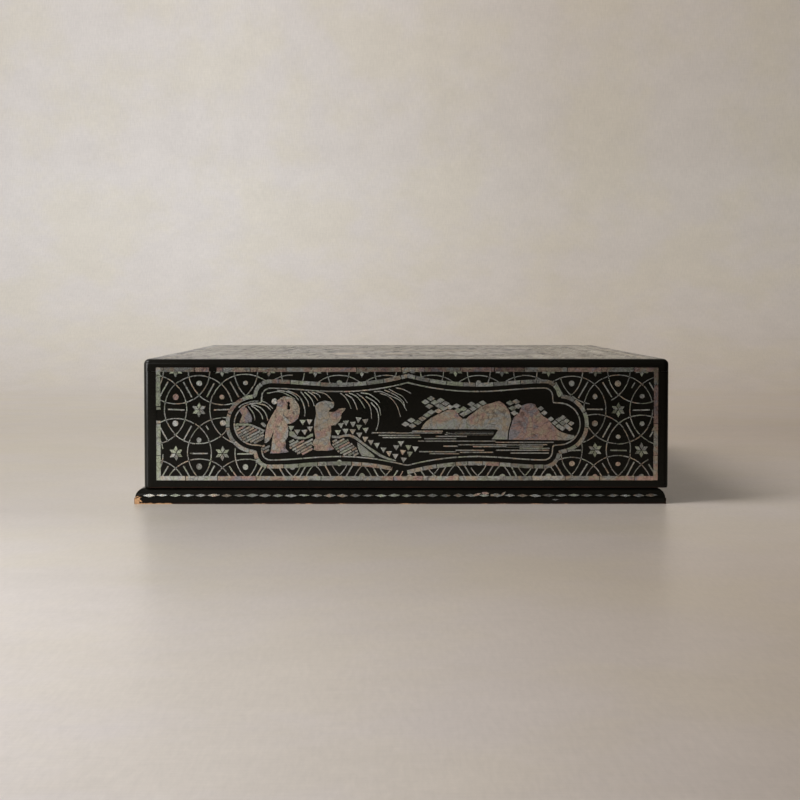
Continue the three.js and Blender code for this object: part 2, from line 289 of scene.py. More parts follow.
# The plates of each figure and of the near hill, with their tone, their brightness, and how much
# the tone grows over each 10 mm to the right and up, where the plate was cut across a band of colour.
FIGURES = [
    ([WALKER, WALKER_SLEEVE], (0.7, 1.2, 0.03, -0.05)),
    ([WALKER_HAT], (0.4, 1.9, 0, 0)),
    ([CALLER], (0.6, 1.05, 0, -0.08)),
    ([NEAR_HILL], (0.8, 0.9, 0.15, 0)),
]
TRIANGLES = [
    (-53.4, 0.6), (-49.9, 0.7), (-49.8, -2.9), (-52.6, -4.5), (-33.8, -1.1), (-31.1, 0.1),
    (-27.5, -0.3), (-24.7, 1.9), (-21, 0.9), (-35.2, -4.7), (-31.2, -4), (-27.6, -4.2),
    (-24.4, -2.1), (-21, -3.5), (-24.2, -6), (-21.1, -8), (-18.2, -9.8), (-15, -11.3),
    (-11.7, -13.6), (-8.9, -15.7), (-5, -12.4), (-5.5, -17), (-2.6, -10.4), (1.1, -12.4),
    (4.7, -13.2), (-1.8, -14.9), (1.9, -15.9), (-1.4, -19), (-59.4, -2.6), (-56.2, -4.3),
]
FRONDS = [
    [(-71.7, 15.3), (-65.4, 16.2), (-59.4, 13.6), (-57.3, 12.3)],
    [(-66.5, 16.9), (-61.5, 16.1), (-57.3, 14), (-55.4, 11.6)],
    [(-61.2, 16.7), (-56.2, 14.5), (-53.6, 11.3), (-52.4, 6.9)],
    [(-74.9, 11.5), (-72, 10.3), (-68.8, 7.4)],
    [(-76.7, 10.1), (-72.5, 9), (-69.9, 6.6)],
    [(-80.2, 9.8), (-75.2, 7.9), (-72.5, 4.8), (-71.5, 1.3)],
    [(-79.9, 9), (-76.7, 6.6), (-74.6, 4), (-74.1, 1.9)],
    [(-81.5, 8.4), (-79.4, 5.8), (-78.4, 3.7), (-78.1, 1.3)],
    [(-86.5, 7.9), (-84.4, 9.6), (-82, 10.4), (-79.4, 11.2), (-76.2, 11.3)],
    [(-54.4, 16.2), (-52.4, 13.6), (-50.7, 10.9), (-50.2, 8.3)],
    [(-54.4, 12.6), (-52.9, 9.6), (-52.2, 6.3), (-52.4, 3.4)],
    [(-52.4, 15.9), (-50.1, 13.9), (-48.4, 11.6), (-47.4, 8.6)],
    [(-50.7, 16.2), (-47.8, 14.4), (-45.6, 11.6)],
    [(-48.8, 15.9), (-45.5, 14.9), (-44.3, 13.2)],
    [(-46.1, 16.2), (-41.9, 15.2), (-39.6, 13.2), (-38.2, 11.6)],
    [(-34, 15.5), (-31.3, 13.2), (-29.4, 10), (-28.4, 7.3)],
    [(-31.3, 14.9), (-28, 12.9), (-26.1, 9.6), (-25.2, 6.7)],
    [(-29.4, 15.5), (-25.4, 13.6), (-22.8, 10.3), (-21.3, 7.6)],
    [(-25.4, 15.2), (-21.5, 12.3), (-18.5, 8), (-17.8, 2.1)],
    [(-23.4, 15.5), (-19.1, 14.9), (-15.2, 12.3), (-13.6, 10.6)],
    [(-20.8, 13.6), (-16.5, 11.1), (-13.9, 8), (-13.1, 4)],
    [(-18.2, 10.6), (-15.2, 7), (-14.2, 3), (-14.5, -0.9), (-15.5, -3.9)],
    [(-16.5, 16.2), (-12.9, 16.2), (-8.3, 14.2), (-2.8, 11.3), (0.3, 6.3)],
    [(-13.6, 15.4), (-8.9, 13.6), (-5, 9.3), (-2.8, 3)],
    [(-8.9, 17.5), (-5.7, 15.7), (-1.7, 13.6), (0.7, 10.3)],
    [(-5.3, 18.2), (-1.1, 17.2), (2.6, 15.2)],
    [(-11.2, 17), (-6.2, 14.8), (-1.7, 11.3), (-0.6, 7.6)],
]

# The front's picture, right part: two hills over still water, with patches of checked cloud.
HILLS = [
    [(7.8, -3.2), (8.8, -1.2), (10.5, 0.7), (13.1, 2.7), (15.7, 4), (18.4, 5.3), (21, 6.5),
     (23.6, 6.8), (25.6, 6.3), (26.7, 5), (27.6, 3.4), (29.2, 2.1), (31.2, 2.2), (32.8, 3.7),
     (35.5, 5.7), (38.4, 8), (41.4, 9.6), (44, 10.1), (46.2, 10.9), (48, 11.3), (49.9, 10.3),
     (51.9, 8.3), (53.2, 6.3), (54, 3.7), (54.3, 1.1), (53.7, -0.9), (53.1, -2.9), (52.6, -5.5),
     (52.5, -8.6), (44.2, -8.5), (45.7, -6.8), (47.6, -3.7), (46.5, -3.3)],
    [(53.1, -8.7), (53.2, -5.5), (53.8, -2.9), (54.5, -0.8), (55.1, 1.4), (55.6, 2.4), (56.3, 3.4),
     (58.5, 5), (59.1, 7), (60.1, 9), (62.1, 9.8),
     (64.7, 10.1), (66.7, 9.6), (67.1, 8.6), (68.2, 7), (69.7, 4.7), (71, 3.4), (73.3, 2.1),
     (74.9, 0.1), (76.9, -2.2), (79.2, -4.2), (81.5, -5.2), (84.2, -6), (87, -6.5), (87.2, -7.3),
     (85.8, -8.5), (83.2, -9)],
]
CHECKS = [
    (12.9, 12.6), (10, 10.7), (14.7, 10.5), (17.7, 11.6), (20.3, 10), (11.9, 8.5), (17, 9),
    (19.3, 7.5), (22.6, 8.1), (16.7, 6.2), (-0.2, -0.6), (2.7, 1.4), (3.1, -1.6), (6, 0.2),
    (8.3, 2.2), (10.8, 4.1), (13, 5.6), (26.1, 8.8), (26.9, 6.5), (29.5, 7.2), (29.7, 4.6),
    (32, 5.8), (33.8, 9.7), (34.5, 7.4), (37, 8.8), (39.6, 10.4), (53.7, 10.3), (56.8, 11),
    (55, 7.5), (58, 8.7), (56.1, 5.2),
]
SMALL_CHECKS = [
    (69.6, 7.4), (71.5, 5.2), (75, 1.9), (77, 0), (79, 1.6), (81, 2.8), (78.9, -1.6), (80.9, 0),
    (83, 0.9), (80.9, -2.9), (82.9, -1.7), (85.4, -0.4), (84.6, -3),
]
WATER = [
    (3.2, 19, -4.4), (-5.3, 18.7, -5.2), (20.7, 45.3, -5.1), (20, 45, -6), (-5.3, 7.2, -6.4),
    (15.1, 31.5, -7), (-5.3, 7.8, -7.5), (9.5, 26.3, -8.1), (6.2, 46.3, -9.4), (26.9, 46.3, -11.3),
    (19.3, 26.6, -12.1), (34.5, 46.3, -12.3), (25.6, 40.4, -14.2), (6.8, 25.9, -14.9),
    (27.6, 45, -15.3), (12.1, 27.6, -15.9), (-17.7, -5.3, -5.2), (-14.2, -5.3, -6.4),
    (-12.1, -5.3, -7.5), (46.3, 76.6, -10.1), (46.3, 73, -11.3), (46.3, 59.1, -12.3),
    (58.8, 74.3, -13.2), (46.6, 74.1, -14.2), (54.2, 74, -15.6),
]

POOLS = [(21.5, 45, -5.55), (52, 71, -12.1)]
HILL_TINTS = [(0.55, 1.12, 0, 0.2), (0.78, 1.08, -0.12, 0)]

# Sizes of the picture's tiles: the grass's triangles, and the large and small checks of cloud.
TRIANGLE_SIZE = 3.7
CHECK_SIZE = (4.3, 2.7)
SMALL_CHECK_SIZE = (3.4, 2.6)

# The picture's strips: their kind, width, length, first seed, and what else their tree needs.
PICTURE_STRIPS = {
    "willow_fronds": ("frond", 0.62, 100, 120, {"Facet": 1.2 * MM, "Taper": 0.45, "Looseness": 0.0}),
    "fields": ("field", 1.05, 14, 130, {"Facet": 20 * MM}),
    "water_lines": ("water", 0.62, 45, 140, {"Facet": 60 * MM}),
    "pools": ("water", 1.5, 45, 145, {"Facet": 60 * MM}),
}

# On the plinth's front: two small lozenges under the row, and the scraps of shell of an old mend. Each
# has its place, angle, length and width.
SMALL_LOZENGES = [(80.4, -2.2, 0, 3.8, 1.1), (88.1, -2.3, 0, 3.6, 1.0)]
PLINTH_MENDS = [
    (39.6, 0.4, 10, 4.6, 1.2), (44, 1, 4, 4.2, 1.5), (48.6, 0.2, -12, 5, 1.4), (53.2, 0.9, 15, 3.2, 1.1),
]

# Which parts of the picture each face shows: part, scale, shift right and up, and mirrored or not.
PICTURES = {
    "front": [("bank", 1, -0.6, 0.6, False), ("hills", 1, -0.6, 0.6, False)],
    "back": [("bank", 1, 0, 0, True), ("hills", 1, 0, 0, True)],
    "right": [("bank", 1, -45, 0, False), ("hills", 1, 45, 0, False), ("hills", 0.75, -48, 3, False)],
    "left": [("bank", 1, 45, 0, True), ("hills", 1, -45, 0, True), ("hills", 0.75, 48, 3, True)],
    "top": [
        ("bank", 1.3, 50, -69, False),
        ("hills", 1.3, -50, 20, False),
        ("hills", 0.8, 8, 74, True),
        ("bank", 0.65, 30, 113, False),
    ],
}


def linear(hex_colour):
    """A linear RGBA colour from an sRGB hex value."""
    parts = [int(hex_colour[i : i + 2], 16) / 255 for i in (1, 3, 5)]
    return [p / 12.92 if p <= 0.04045 else ((p + 0.055) / 1.055) ** 2.4 for p in parts] + [1.0]


def length_value(name, description, default):
    return bpy.props.FloatProperty(
        name=name, description=description, default=default, subtype="DISTANCE", unit="LENGTH"
    )


def colour_value(name, description, default):
    return bpy.props.FloatVectorProperty(
        name=name, description=description, default=linear(default)[:3], subtype="COLOR", min=0, max=1
    )


class ShellSizes(bpy.types.PropertyGroup):
    """Sizes of the shell pieces."""

    strip_length: length_value("Strip Length", "Length of a strip in a face's border", 18 * MM)
    band_length: length_value("Band Piece Length", "Length of a piece in the cartouche's band", 8 * MM)
    gap: length_value("Gap", "Dark joint between neighbouring pieces", 0.35 * MM)
    proud: length_value("Proud", "How far the shell stands out of the lacquer", 0.015 * MM)
    line_width: length_value("Line Width", "Width of the diaper's circles", 0.52 * MM)
    inner_line_width: length_value("Inner Line Width", "Width of the line inside the cartouche", 0.66 * MM)
    bar_width: length_value("Bar Width", "Width of the diaper's bars", 0.7 * MM)
    lattice_pitch: length_value("Lattice Pitch", "From one star to the next", 24.08 * MM)
    circle_radius: length_value("Circle Radius", "Radius of the circle round each star", 17.9 * MM)
    star_radius: length_value("Star Radius", "From a star's middle to its points", 3.9 * MM)
    dot_size: length_value("Dot Size", "Diameter of a dot", 3 * MM)
    bar_length: length_value("Bar Length", "Length of a bar between two stars", 9.4 * MM)
    lozenge_pitch: length_value("Lozenge Pitch", "From one lozenge on the plinth to the next", 6.66 * MM)


class FinishColours(bpy.types.PropertyGroup):
    """Colours of the finishes."""

    lacquer: colour_value("Lacquer", "Polished black lacquer", "#0A0906")
    worn_lacquer: colour_value("Worn Lacquer", "Red-brown ground where the black is worn thin", "#3A1D12")
    bare_wood: colour_value("Bare Wood", "Wood where the lacquer is chipped off", "#A9835F")
    inner_lacquer: colour_value("Inner Lacquer", "Brushed lacquer inside", "#14100D")
    shell_green: colour_value("Green Shell", "Greenish shell", "#A8B09B")
    shell_grey: colour_value("Grey Shell", "Grey shell", "#ABAEAE")
    shell_tan: colour_value("Tan Shell", "Yellowish shell", "#B7AB96")
    shell_pink: colour_value("Pink Shell", "Pinkish shell", "#B8988F")
    shell_violet: colour_value("Violet Shell", "Violet-grey shell", "#9C9AA0")
    floor: colour_value("Floor", "Floor and backdrop", "#E4DDD6")


def settings():
    return bpy.context.scene.lacquer_shell, bpy.context.scene.lacquer_colours


def plug(made, inputs):
    """Links each socket, or node's first output, to its input of a node, or sets the input's value."""
    for key, value in inputs.items():
        if isinstance(value, bpy.types.Node):
            value = value.outputs[0]
        if isinstance(value, bpy.types.NodeSocket):
            made.id_data.links.new(value, made.inputs[key])
        else:
            made.inputs[key].default_value = value


def node(tree, kind, inputs=None, **choices):
    """Adds a node, makes its choices and plugs its inputs."""
    made = tree.nodes.new(kind)
    for name, value in choices.items():
        setattr(made, name, value)
    plug(made, inputs or {})
    return made


def start_material(name):
    """A material, what adds a node to it, its one shader, and the object's own coordinates."""
    made = bpy.data.materials.get(name)
    if made:
        bpy.data.materials.remove(made)
    made = bpy.data.materials.new(name)
    made.use_nodes = True
    add = partial(node, made.node_tree)
    return made, add, made.node_tree.nodes["Principled BSDF"], add("ShaderNodeTexCoord").outputs["Object"]


def rgba(colour, factor=1.0, added=0.0):
    return [value * factor + added for value in colour] + [1.0]


def set_stops(ramp, stops):
    """Gives a colour ramp its stops, each a position and a colour."""
    elements = ramp.color_ramp.elements
    for element, (position, colour) in zip(elements, (stops[0], stops[-1])):
        element.position, element.color = position, rgba(colour)
    for position, colour in stops[1:-1]:
        elements.new(position).color = rgba(colour)


# A pattern's scale says how many of its patches lie in a metre, so 90 makes them 11 mm wide.
#
# Polished black lacquer: coats of tree sap, each ground flat and the last one polished. It mirrors the
# room softly, is broken by fine age cracks and rubbing, and shows its red-brown ground on the arrises.
# Cloths wiped from front to back have left it streaked where it faces up.
def lacquer(name, low, high, wear_width, chips):
    _, colours = settings()
    made, add, shader, place = start_material(name)
    centred = add("ShaderNodeVectorMath", {0: place, 1: (low + high) / 2}, operation="SUBTRACT")
    folded = add("ShaderNodeVectorMath", {0: centred}, operation="ABSOLUTE")
    depth = add("ShaderNodeVectorMath", {0: folded, 1: (high - low) / 2}, operation="SUBTRACT")
    x, y, z = add("ShaderNodeSeparateXYZ", {0: depth}).outputs
    larger = add("ShaderNodeMath", {0: x, 1: y}, operation="MAXIMUM")
    smaller = add("ShaderNodeMath", {0: x, 1: y}, operation="MINIMUM")
    other = add("ShaderNodeMath", {0: larger, 1: z}, operation="MINIMUM")
    arris = add("ShaderNodeMath", {0: smaller, 1: other}, operation="MAXIMUM")
    rubbed = add("ShaderNodeTexNoise", {"Vector": place, "Scale": 90, "Detail": 6, "Roughness": 0.7})
    reach = add("ShaderNodeMath", {0: rubbed, 1: 2 * wear_width, 2: arris}, operation="MULTIPLY_ADD")
    limits = {"From Min": 0.1 * wear_width, "From Max": 1.3 * wear_width}
    worn = add("ShaderNodeMapRange", {"Value": reach, **limits})
    cloud = add("ShaderNodeTexNoise", {"Vector": place, "Scale": 22, "Detail": 5})
    dark, pale = rgba(colours.lacquer), rgba(colours.lacquer, 1.9, 0.001)
    tint = add("ShaderNodeMix", {0: cloud, 6: dark, 7: pale}, data_type="RGBA").outputs[2]
    ground = rgba(colours.worn_lacquer)
    colour = add("ShaderNodeMix", {0: worn, 6: tint, 7: ground}, data_type="RGBA").outputs[2]
    limits = {"From Min": 0.3, "From Max": 0.7, "To Min": 0.1, "To Max": 0.2}
    polish = add("ShaderNodeMapRange", {"Value": cloud, **limits})
    facing = add("ShaderNodeTexCoord").outputs["Normal"]
    up = add("ShaderNodeSeparateXYZ", {0: facing}).outputs[2]
    level = add("ShaderNodeMapRange", {"Value": up, "From Min": 0.9, "From Max": 1})
    along = add("ShaderNodeMapping", {"Vector": place, "Scale": (1, 0.13, 1)})
    wiping = add("ShaderNodeTexNoise", {"Vector": along, "Scale": 210, "Detail": 4, "Roughness": 0.65})
    streak = add("ShaderNodeMapRange", {"Value": wiping, "From Min": 0.44, "From Max": 0.64, "To Max": 0.17})
    rough = add("ShaderNodeMath", {0: level, 1: streak, 2: polish}, operation="MULTIPLY_ADD")
    if chips:
        # Knocks along the foot leave bare wood: specks in a thin band, and a splintered front corner.
        height = add("ShaderNodeSeparateXYZ", {0: place}).outputs[2]
        long = add("ShaderNodeMapping", {"Vector": place, "Scale": (1, 1, 0.25)})
        patches = add("ShaderNodeTexNoise", {"Vector": long, "Scale": 75, "Detail": 5, "Roughness": 0.65})
        lift = add("ShaderNodeMath", {0: height, 1: -1 / CHIP_HEIGHT, 2: patches}, operation="MULTIPLY_ADD")
        specks = add("ShaderNodeMapRange", {"Value": lift, "From Min": 0.52, "From Max": 0.56})
        splinters = add("ShaderNodeTexNoise", {"Vector": place, "Scale": 700, "Detail": 3, "Roughness": 0.7})
        corner = Vector((low.x, low.y, 1 * MM))
        far = add("ShaderNodeVectorMath", {0: place, 1: corner}, operation="DISTANCE").outputs["Value"]
        near = add("ShaderNodeMath", {0: far, 1: -1 / KNOCKED_REACH, 2: splinters}, operation="MULTIPLY_ADD")
        knocked = add("ShaderNodeMapRange", {"Value": near, "From Min": 0.16, "From Max": 0.24})
        chip = add("ShaderNodeMath", {0: specks, 1: knocked}, operation="MAXIMUM")
        dark, pale = rgba(colours.bare_wood, 0.4), rgba(colours.bare_wood, 1.9)
        wood = add("ShaderNodeMix", {0: splinters, 6: dark, 7: pale}, data_type="RGBA").outputs[2]
        colour = add("ShaderNodeMix", {0: chip, 6: colour, 7: wood}, data_type="RGBA").outputs[2]
        rough = add("ShaderNodeMix", {0: chip, 2: rough, 3: 0.75})
    # Age cracks are 6 mm apart and drawn 0.4 mm wide, coarser than real ones, which the camera could not
    # show. The slow swell of hand grinding is about 12 mm.
    cracks = add("ShaderNodeTexVoronoi", {"Vector": place, "Scale": 160}, feature="DISTANCE_TO_EDGE")
    groove = add("ShaderNodeMapRange", {"Value": cracks, "From Max": 0.03})
    swell = add("ShaderNodeTexNoise", {"Vector": place, "Scale": 85, "Detail": 3})
    ground = add("ShaderNodeBump", {"Strength": 0.5, "Distance": 0.1 * MM, "Height": swell})
    skin = {"Strength": 0.3, "Distance": 0.02 * MM, "Height": groove, "Normal": ground}
    plug(shader, {"Base Color": colour, "Roughness": rough, "Normal": add("ShaderNodeBump", skin)})
    plug(shader, {"IOR": 1.5, "Specular IOR Level": 0.15})
    return made


# Brushed lacquer: one coat laid on with a hair brush and left unpolished, so it is satin, and the
# brush marks run along the boards.
def brushed_lacquer():
    _, colours = settings()
    made, add, shader, place = start_material("brushed_lacquer")
    drawn = add("ShaderNodeMapping", {"Vector": place, "Scale": (1, 1, 9)})
    marks = add("ShaderNodeTexNoise", {"Vector": drawn, "Scale": 120, "Detail": 4})
    cloud = add("ShaderNodeTexNoise", {"Vector": place, "Scale": 30, "Detail": 4})
    dark, pale = rgba(colours.inner_lacquer), rgba(colours.inner_lacquer, 1.8)
    colour = add("ShaderNodeMix", {0: cloud, 6: dark, 7: pale}, data_type="RGBA").outputs[2]
    rough = add("ShaderNodeMapRange", {"Value": marks, "To Min": 0.28, "To Max": 0.5})
    bump = add("ShaderNodeBump", {"Strength": 0.5, "Distance": 0.05 * MM, "Height": marks})
    plug(shader, {"Base Color": colour, "Roughness": rough, "Normal": bump})
    return made


# Split bamboo: whittled pegs, pale and matt, with fibres along them.
def split_bamboo():
    _, colours = settings()
    made, add, shader, place = start_material("split_bamboo")
    drawn = add("ShaderNodeMapping", {"Vector": place, "Scale": (8, 1, 8)})
    fibres = add("ShaderNodeTexNoise", {"Vector": drawn, "Scale": 300, "Detail": 3})
    dark, pale = rgba(colours.bare_wood), rgba(colours.bare_wood, 1.7)
    colour = add("ShaderNodeMix", {0: fibres, 6: dark, 7: pale}, data_type="RGBA").outputs[2]
    plug(shader, {"Base Color": colour, "Roughness": 0.7})
    return made


# Mother-of-pearl: sheets split from abalone and oyster shell, ground thin and glued into the lacquer.
# Each piece has its own tone and brightness. Clouds a few millimetres wide shift the tone on from
# there, fine specks make it glitter, and lacquer left in its pits dulls it in spots. On the top it is
# made yellower, darker and rougher, so it lies darker than the lacquer's shine.
def mother_of_pearl():
    _, colours = settings()
    made, add, shader, place = start_material("mother_of_pearl")
    piece = add("ShaderNodeAttribute", attribute_name="piece", attribute_type="GEOMETRY").outputs["Vector"]
    tone, light, own_place = add("ShaderNodeSeparateXYZ", {0: piece}).outputs
    apart = add("ShaderNodeCombineXYZ", {0: own_place, 1: own_place, 2: own_place})
    shifted = add("ShaderNodeVectorMath", {0: place, 1: apart}, operation="ADD")
    clouds = {"Vector": shifted, "Scale": 130, "Detail": 4, "Roughness": 0.6, "Distortion": 1.0}
    drift = add("ShaderNodeMath", {0: add("ShaderNodeTexNoise", clouds), 1: 0.5}, operation="SUBTRACT")
    hue = add("ShaderNodeMath", {0: drift, 1: 2.0, 2: tone}, operation="MULTIPLY_ADD")
    ramp = add("ShaderNodeValToRGB", {"Fac": hue})
    tones = ((0.05, "green"), (0.38, "grey"), (0.58, "tan"), (0.78, "pink"), (0.95, "violet"))
    set_stops(ramp, [(position, getattr(colours, f"shell_{name}")) for position, name in tones])
    # On the top the shell is made yellower, darker and rougher.
    height = add("ShaderNodeSeparateXYZ", {0: place}).outputs[2]
    top = cad_box[1][2]
    limits = {"From Min": top - 1.5 * MM, "From Max": top - 0.5 * MM}
    top_face = add("ShaderNodeMapRange", {"Value": height, **limits})
    top_yellowing = add("ShaderNodeMath", {0: top_face, 1: 0.6}, operation="MULTIPLY")
    tan = rgba(colours.shell_tan)
    yellowed = add("ShaderNodeMix", {0: top_yellowing, 6: ramp, 7: tan}, data_type="RGBA").outputs[2]
    fine = add("ShaderNodeTexNoise", {"Vector": shifted, "Scale": 900, "Detail": 4, "Roughness": 0.75})
    limits = {"From Min": 0.3, "From Max": 0.7, "To Min": 0.72, "To Max": 1.28}
    speck = add("ShaderNodeMapRange", {"Value": fine, **limits})
    top_darkening = add("ShaderNodeMapRange", {"Value": top_face, "To Min": 1, "To Max": 0.85})
    speckled = add("ShaderNodeMath", {0: light, 1: speck}, operation="MULTIPLY")
    level = add("ShaderNodeMath", {0: speckled, 1: top_darkening}, operation="MULTIPLY")
    pearl = add("ShaderNodeVectorMath", {0: yellowed, 3: level}, operation="SCALE")
    pits = add("ShaderNodeTexNoise", {"Vector": shifted, "Scale": 330, "Detail": 5, "Roughness": 0.7})
    pitted = add("ShaderNodeMapRange", {"Value": pits, "From Min": 0.56, "From Max": 0.68, "To Max": 0.7})
    # Hair cracks, drawn up to 0.3 mm wide: each plate was broken over a curve as it was pressed flat.
    cells = add("ShaderNodeTexVoronoi", {"Vector": shifted, "Scale": 300}, feature="DISTANCE_TO_EDGE")
    crack = add("ShaderNodeMapRange", {"Value": cells, "From Max": 0.05, "To Min": 0.6, "To Max": 0})
    residue = add("ShaderNodeMath", {0: pitted, 1: crack}, operation="MAXIMUM")
    dirt = rgba(colours.worn_lacquer)
    colour = add("ShaderNodeMix", {0: residue, 6: pearl, 7: dirt}, data_type="RGBA").outputs[2]
    polish = add("ShaderNodeMapRange", {"Value": fine, "To Min": 0.1, "To Max": 0.3})
    rough = add("ShaderNodeMath", {0: top_face, 1: 0.12, 2: polish}, operation="MULTIPLY_ADD")
    bump = add("ShaderNodeBump", {"Strength": 0.4, "Distance": 0.03 * MM, "Height": fine})
    plug(shader, {"Base Color": colour, "Roughness": rough, "Normal": bump, "IOR": 1.53, "Metallic": 0.77})
    return made


# Painted canvas sweep: a primed cloth with thin coats of satin paint. Its threads show as a fine weave
# both ways, the brush has left cooler and warmer clouds, and painted light and shade are graded along and
# across the sweep. The floor is smooth enough to mirror the dark box softly; the wall, unrubbed, is matt.
def painted_canvas():
    _, colours = settings()
    made, add, shader, place = start_material("painted_canvas")
    x, y, z = add("ShaderNodeSeparateXYZ", {0: place}).outputs
    along = add("ShaderNodeMath", {0: y, 1: z}, operation="ADD")
    cloth = add("ShaderNodeCombineXYZ", {0: x, 1: along})
    # Painted light and shade: one ramp along the sweep for each side, mixed across it.
    painted_along, sides = (
        add("ShaderNodeMapRange", {"Value": value, "From Min": start, "From Max": end})
        for value, (start, end) in ((along, PAINTED_LIGHT_SPAN), (x, PAINTED_LIGHT_SIDES))
    )
    left, right = (add("ShaderNodeValToRGB", {"Fac": painted_along}) for _ in CANVAS_PAINTED_LIGHT)
    for ramp, stops in zip((left, right), CANVAS_PAINTED_LIGHT):
        set_stops(ramp, stops)
    painted_light = add("ShaderNodeMix", {0: sides, 6: left, 7: right}, data_type="RGBA").outputs[2]
    cloud = add("ShaderNodeTexNoise", {"Vector": cloth, "Scale": 9, "Detail": 6, "Roughness": 0.6})
    warmth = add("ShaderNodeMapRange", {"Value": cloud, "From Min": 0.44, "From Max": 0.58})
    cool, warm = rgba(CANVAS_COOL), rgba(CANVAS_WARM)
    tint = add("ShaderNodeMix", {0: warmth, 6: cool, 7: warm}, data_type="RGBA").outputs[2]
    colour = add("ShaderNodeVectorMath", {0: painted_light, 1: colours.floor}, operation="MULTIPLY")
    colour = add("ShaderNodeVectorMath", {0: colour, 1: tint}, operation="MULTIPLY")
    # The threads are drawn three times coarser than real ones, which the camera could not show.
    patterns = (((1, 0.16, 1), 620, 0.05), ((0.13, 1, 1), 620, 0.03), ((1, 1, 1), 26, 0.035))
    for stretch, scale, depth in patterns:
        drawn = add("ShaderNodeMapping", {"Vector": cloth, "Scale": stretch})
        grain = add("ShaderNodeTexNoise", {"Vector": drawn, "Scale": scale, "Detail": 5, "Roughness": 0.65})
        limits = {"From Min": 0.3, "From Max": 0.7, "To Min": 1 - depth, "To Max": 1 + depth}
        shade = add("ShaderNodeMapRange", {"Value": grain, **limits})
        colour = add("ShaderNodeVectorMath", {0: colour, 3: shade}, operation="SCALE")
    rough = add("ShaderNodeMapRange", {"Value": z, "From Max": 0.12, "To Min": 0.33, "To Max": 0.85})
    plug(shader, {"Base Color": colour, "Roughness": rough})
    return made


def start_tree(name, first, own):
    """A tree, what adds a node to it, and its inputs: the first, its own, and those of both trees."""
    tree = bpy.data.node_groups.new(name, "GeometryNodeTree")
    shared = dict.fromkeys(("Thickness", "Seat", "Looseness", "Missing"), "Float")
    shared |= {"Tint From": "Vector", "Tint To": "Vector", "Seed": "Int", "Material": "Material"}
    for title, kind in ({first: "Geometry"} | own | shared).items():
        tree.interface.new_socket(title, in_out="INPUT", socket_type=f"NodeSocket{kind}")
    tree.interface.new_socket("Shell", in_out="OUTPUT", socket_type="NodeSocketGeometry")
    add = partial(node, tree)
    return tree, add, add("NodeGroupInput").outputs


def piece_tint(add, given, which):
    """A random tint for each piece: its tone, its brightness and its place in the shell."""
    limits = {0: given["Tint From"], 1: given["Tint To"], "ID": which, "Seed": given["Seed"]}
    return add("FunctionNodeRandomValue", limits, data_type="FLOAT_VECTOR")


def nudge(add, given, which):
    """A random shift in the face's plane, no larger than the looseness either way."""
    far = given["Looseness"]
    near = add("ShaderNodeMath", {0: far, 1: -1}, operation="MULTIPLY")
    limits = {i: add("ShaderNodeCombineXYZ", {0: end, 1: end}) for i, end in enumerate((near, far))}
    return add("FunctionNodeRandomValue", limits | {"ID": which, "Seed": 7}, data_type="FLOAT_VECTOR")


def finish_tree(add, given, shell):
    """Sets the shell's height against the face, makes it real and gives it its material."""
    half = add("ShaderNodeMath", {0: given["Thickness"], 1: 0.5}, operation="MULTIPLY")
    height = add("ShaderNodeMath", {0: half, 1: given["Seat"]}, operation="SUBTRACT")
    lift = add("ShaderNodeCombineXYZ", {2: height})
    raised = add("GeometryNodeTransform", {"Geometry": shell, "Translation": lift})
    real = add("GeometryNodeRealizeInstances", {0: raised})
    dressed = add("GeometryNodeSetMaterial", {0: real, 2: given["Material"]})
    add("NodeGroupOutput", {0: dressed})


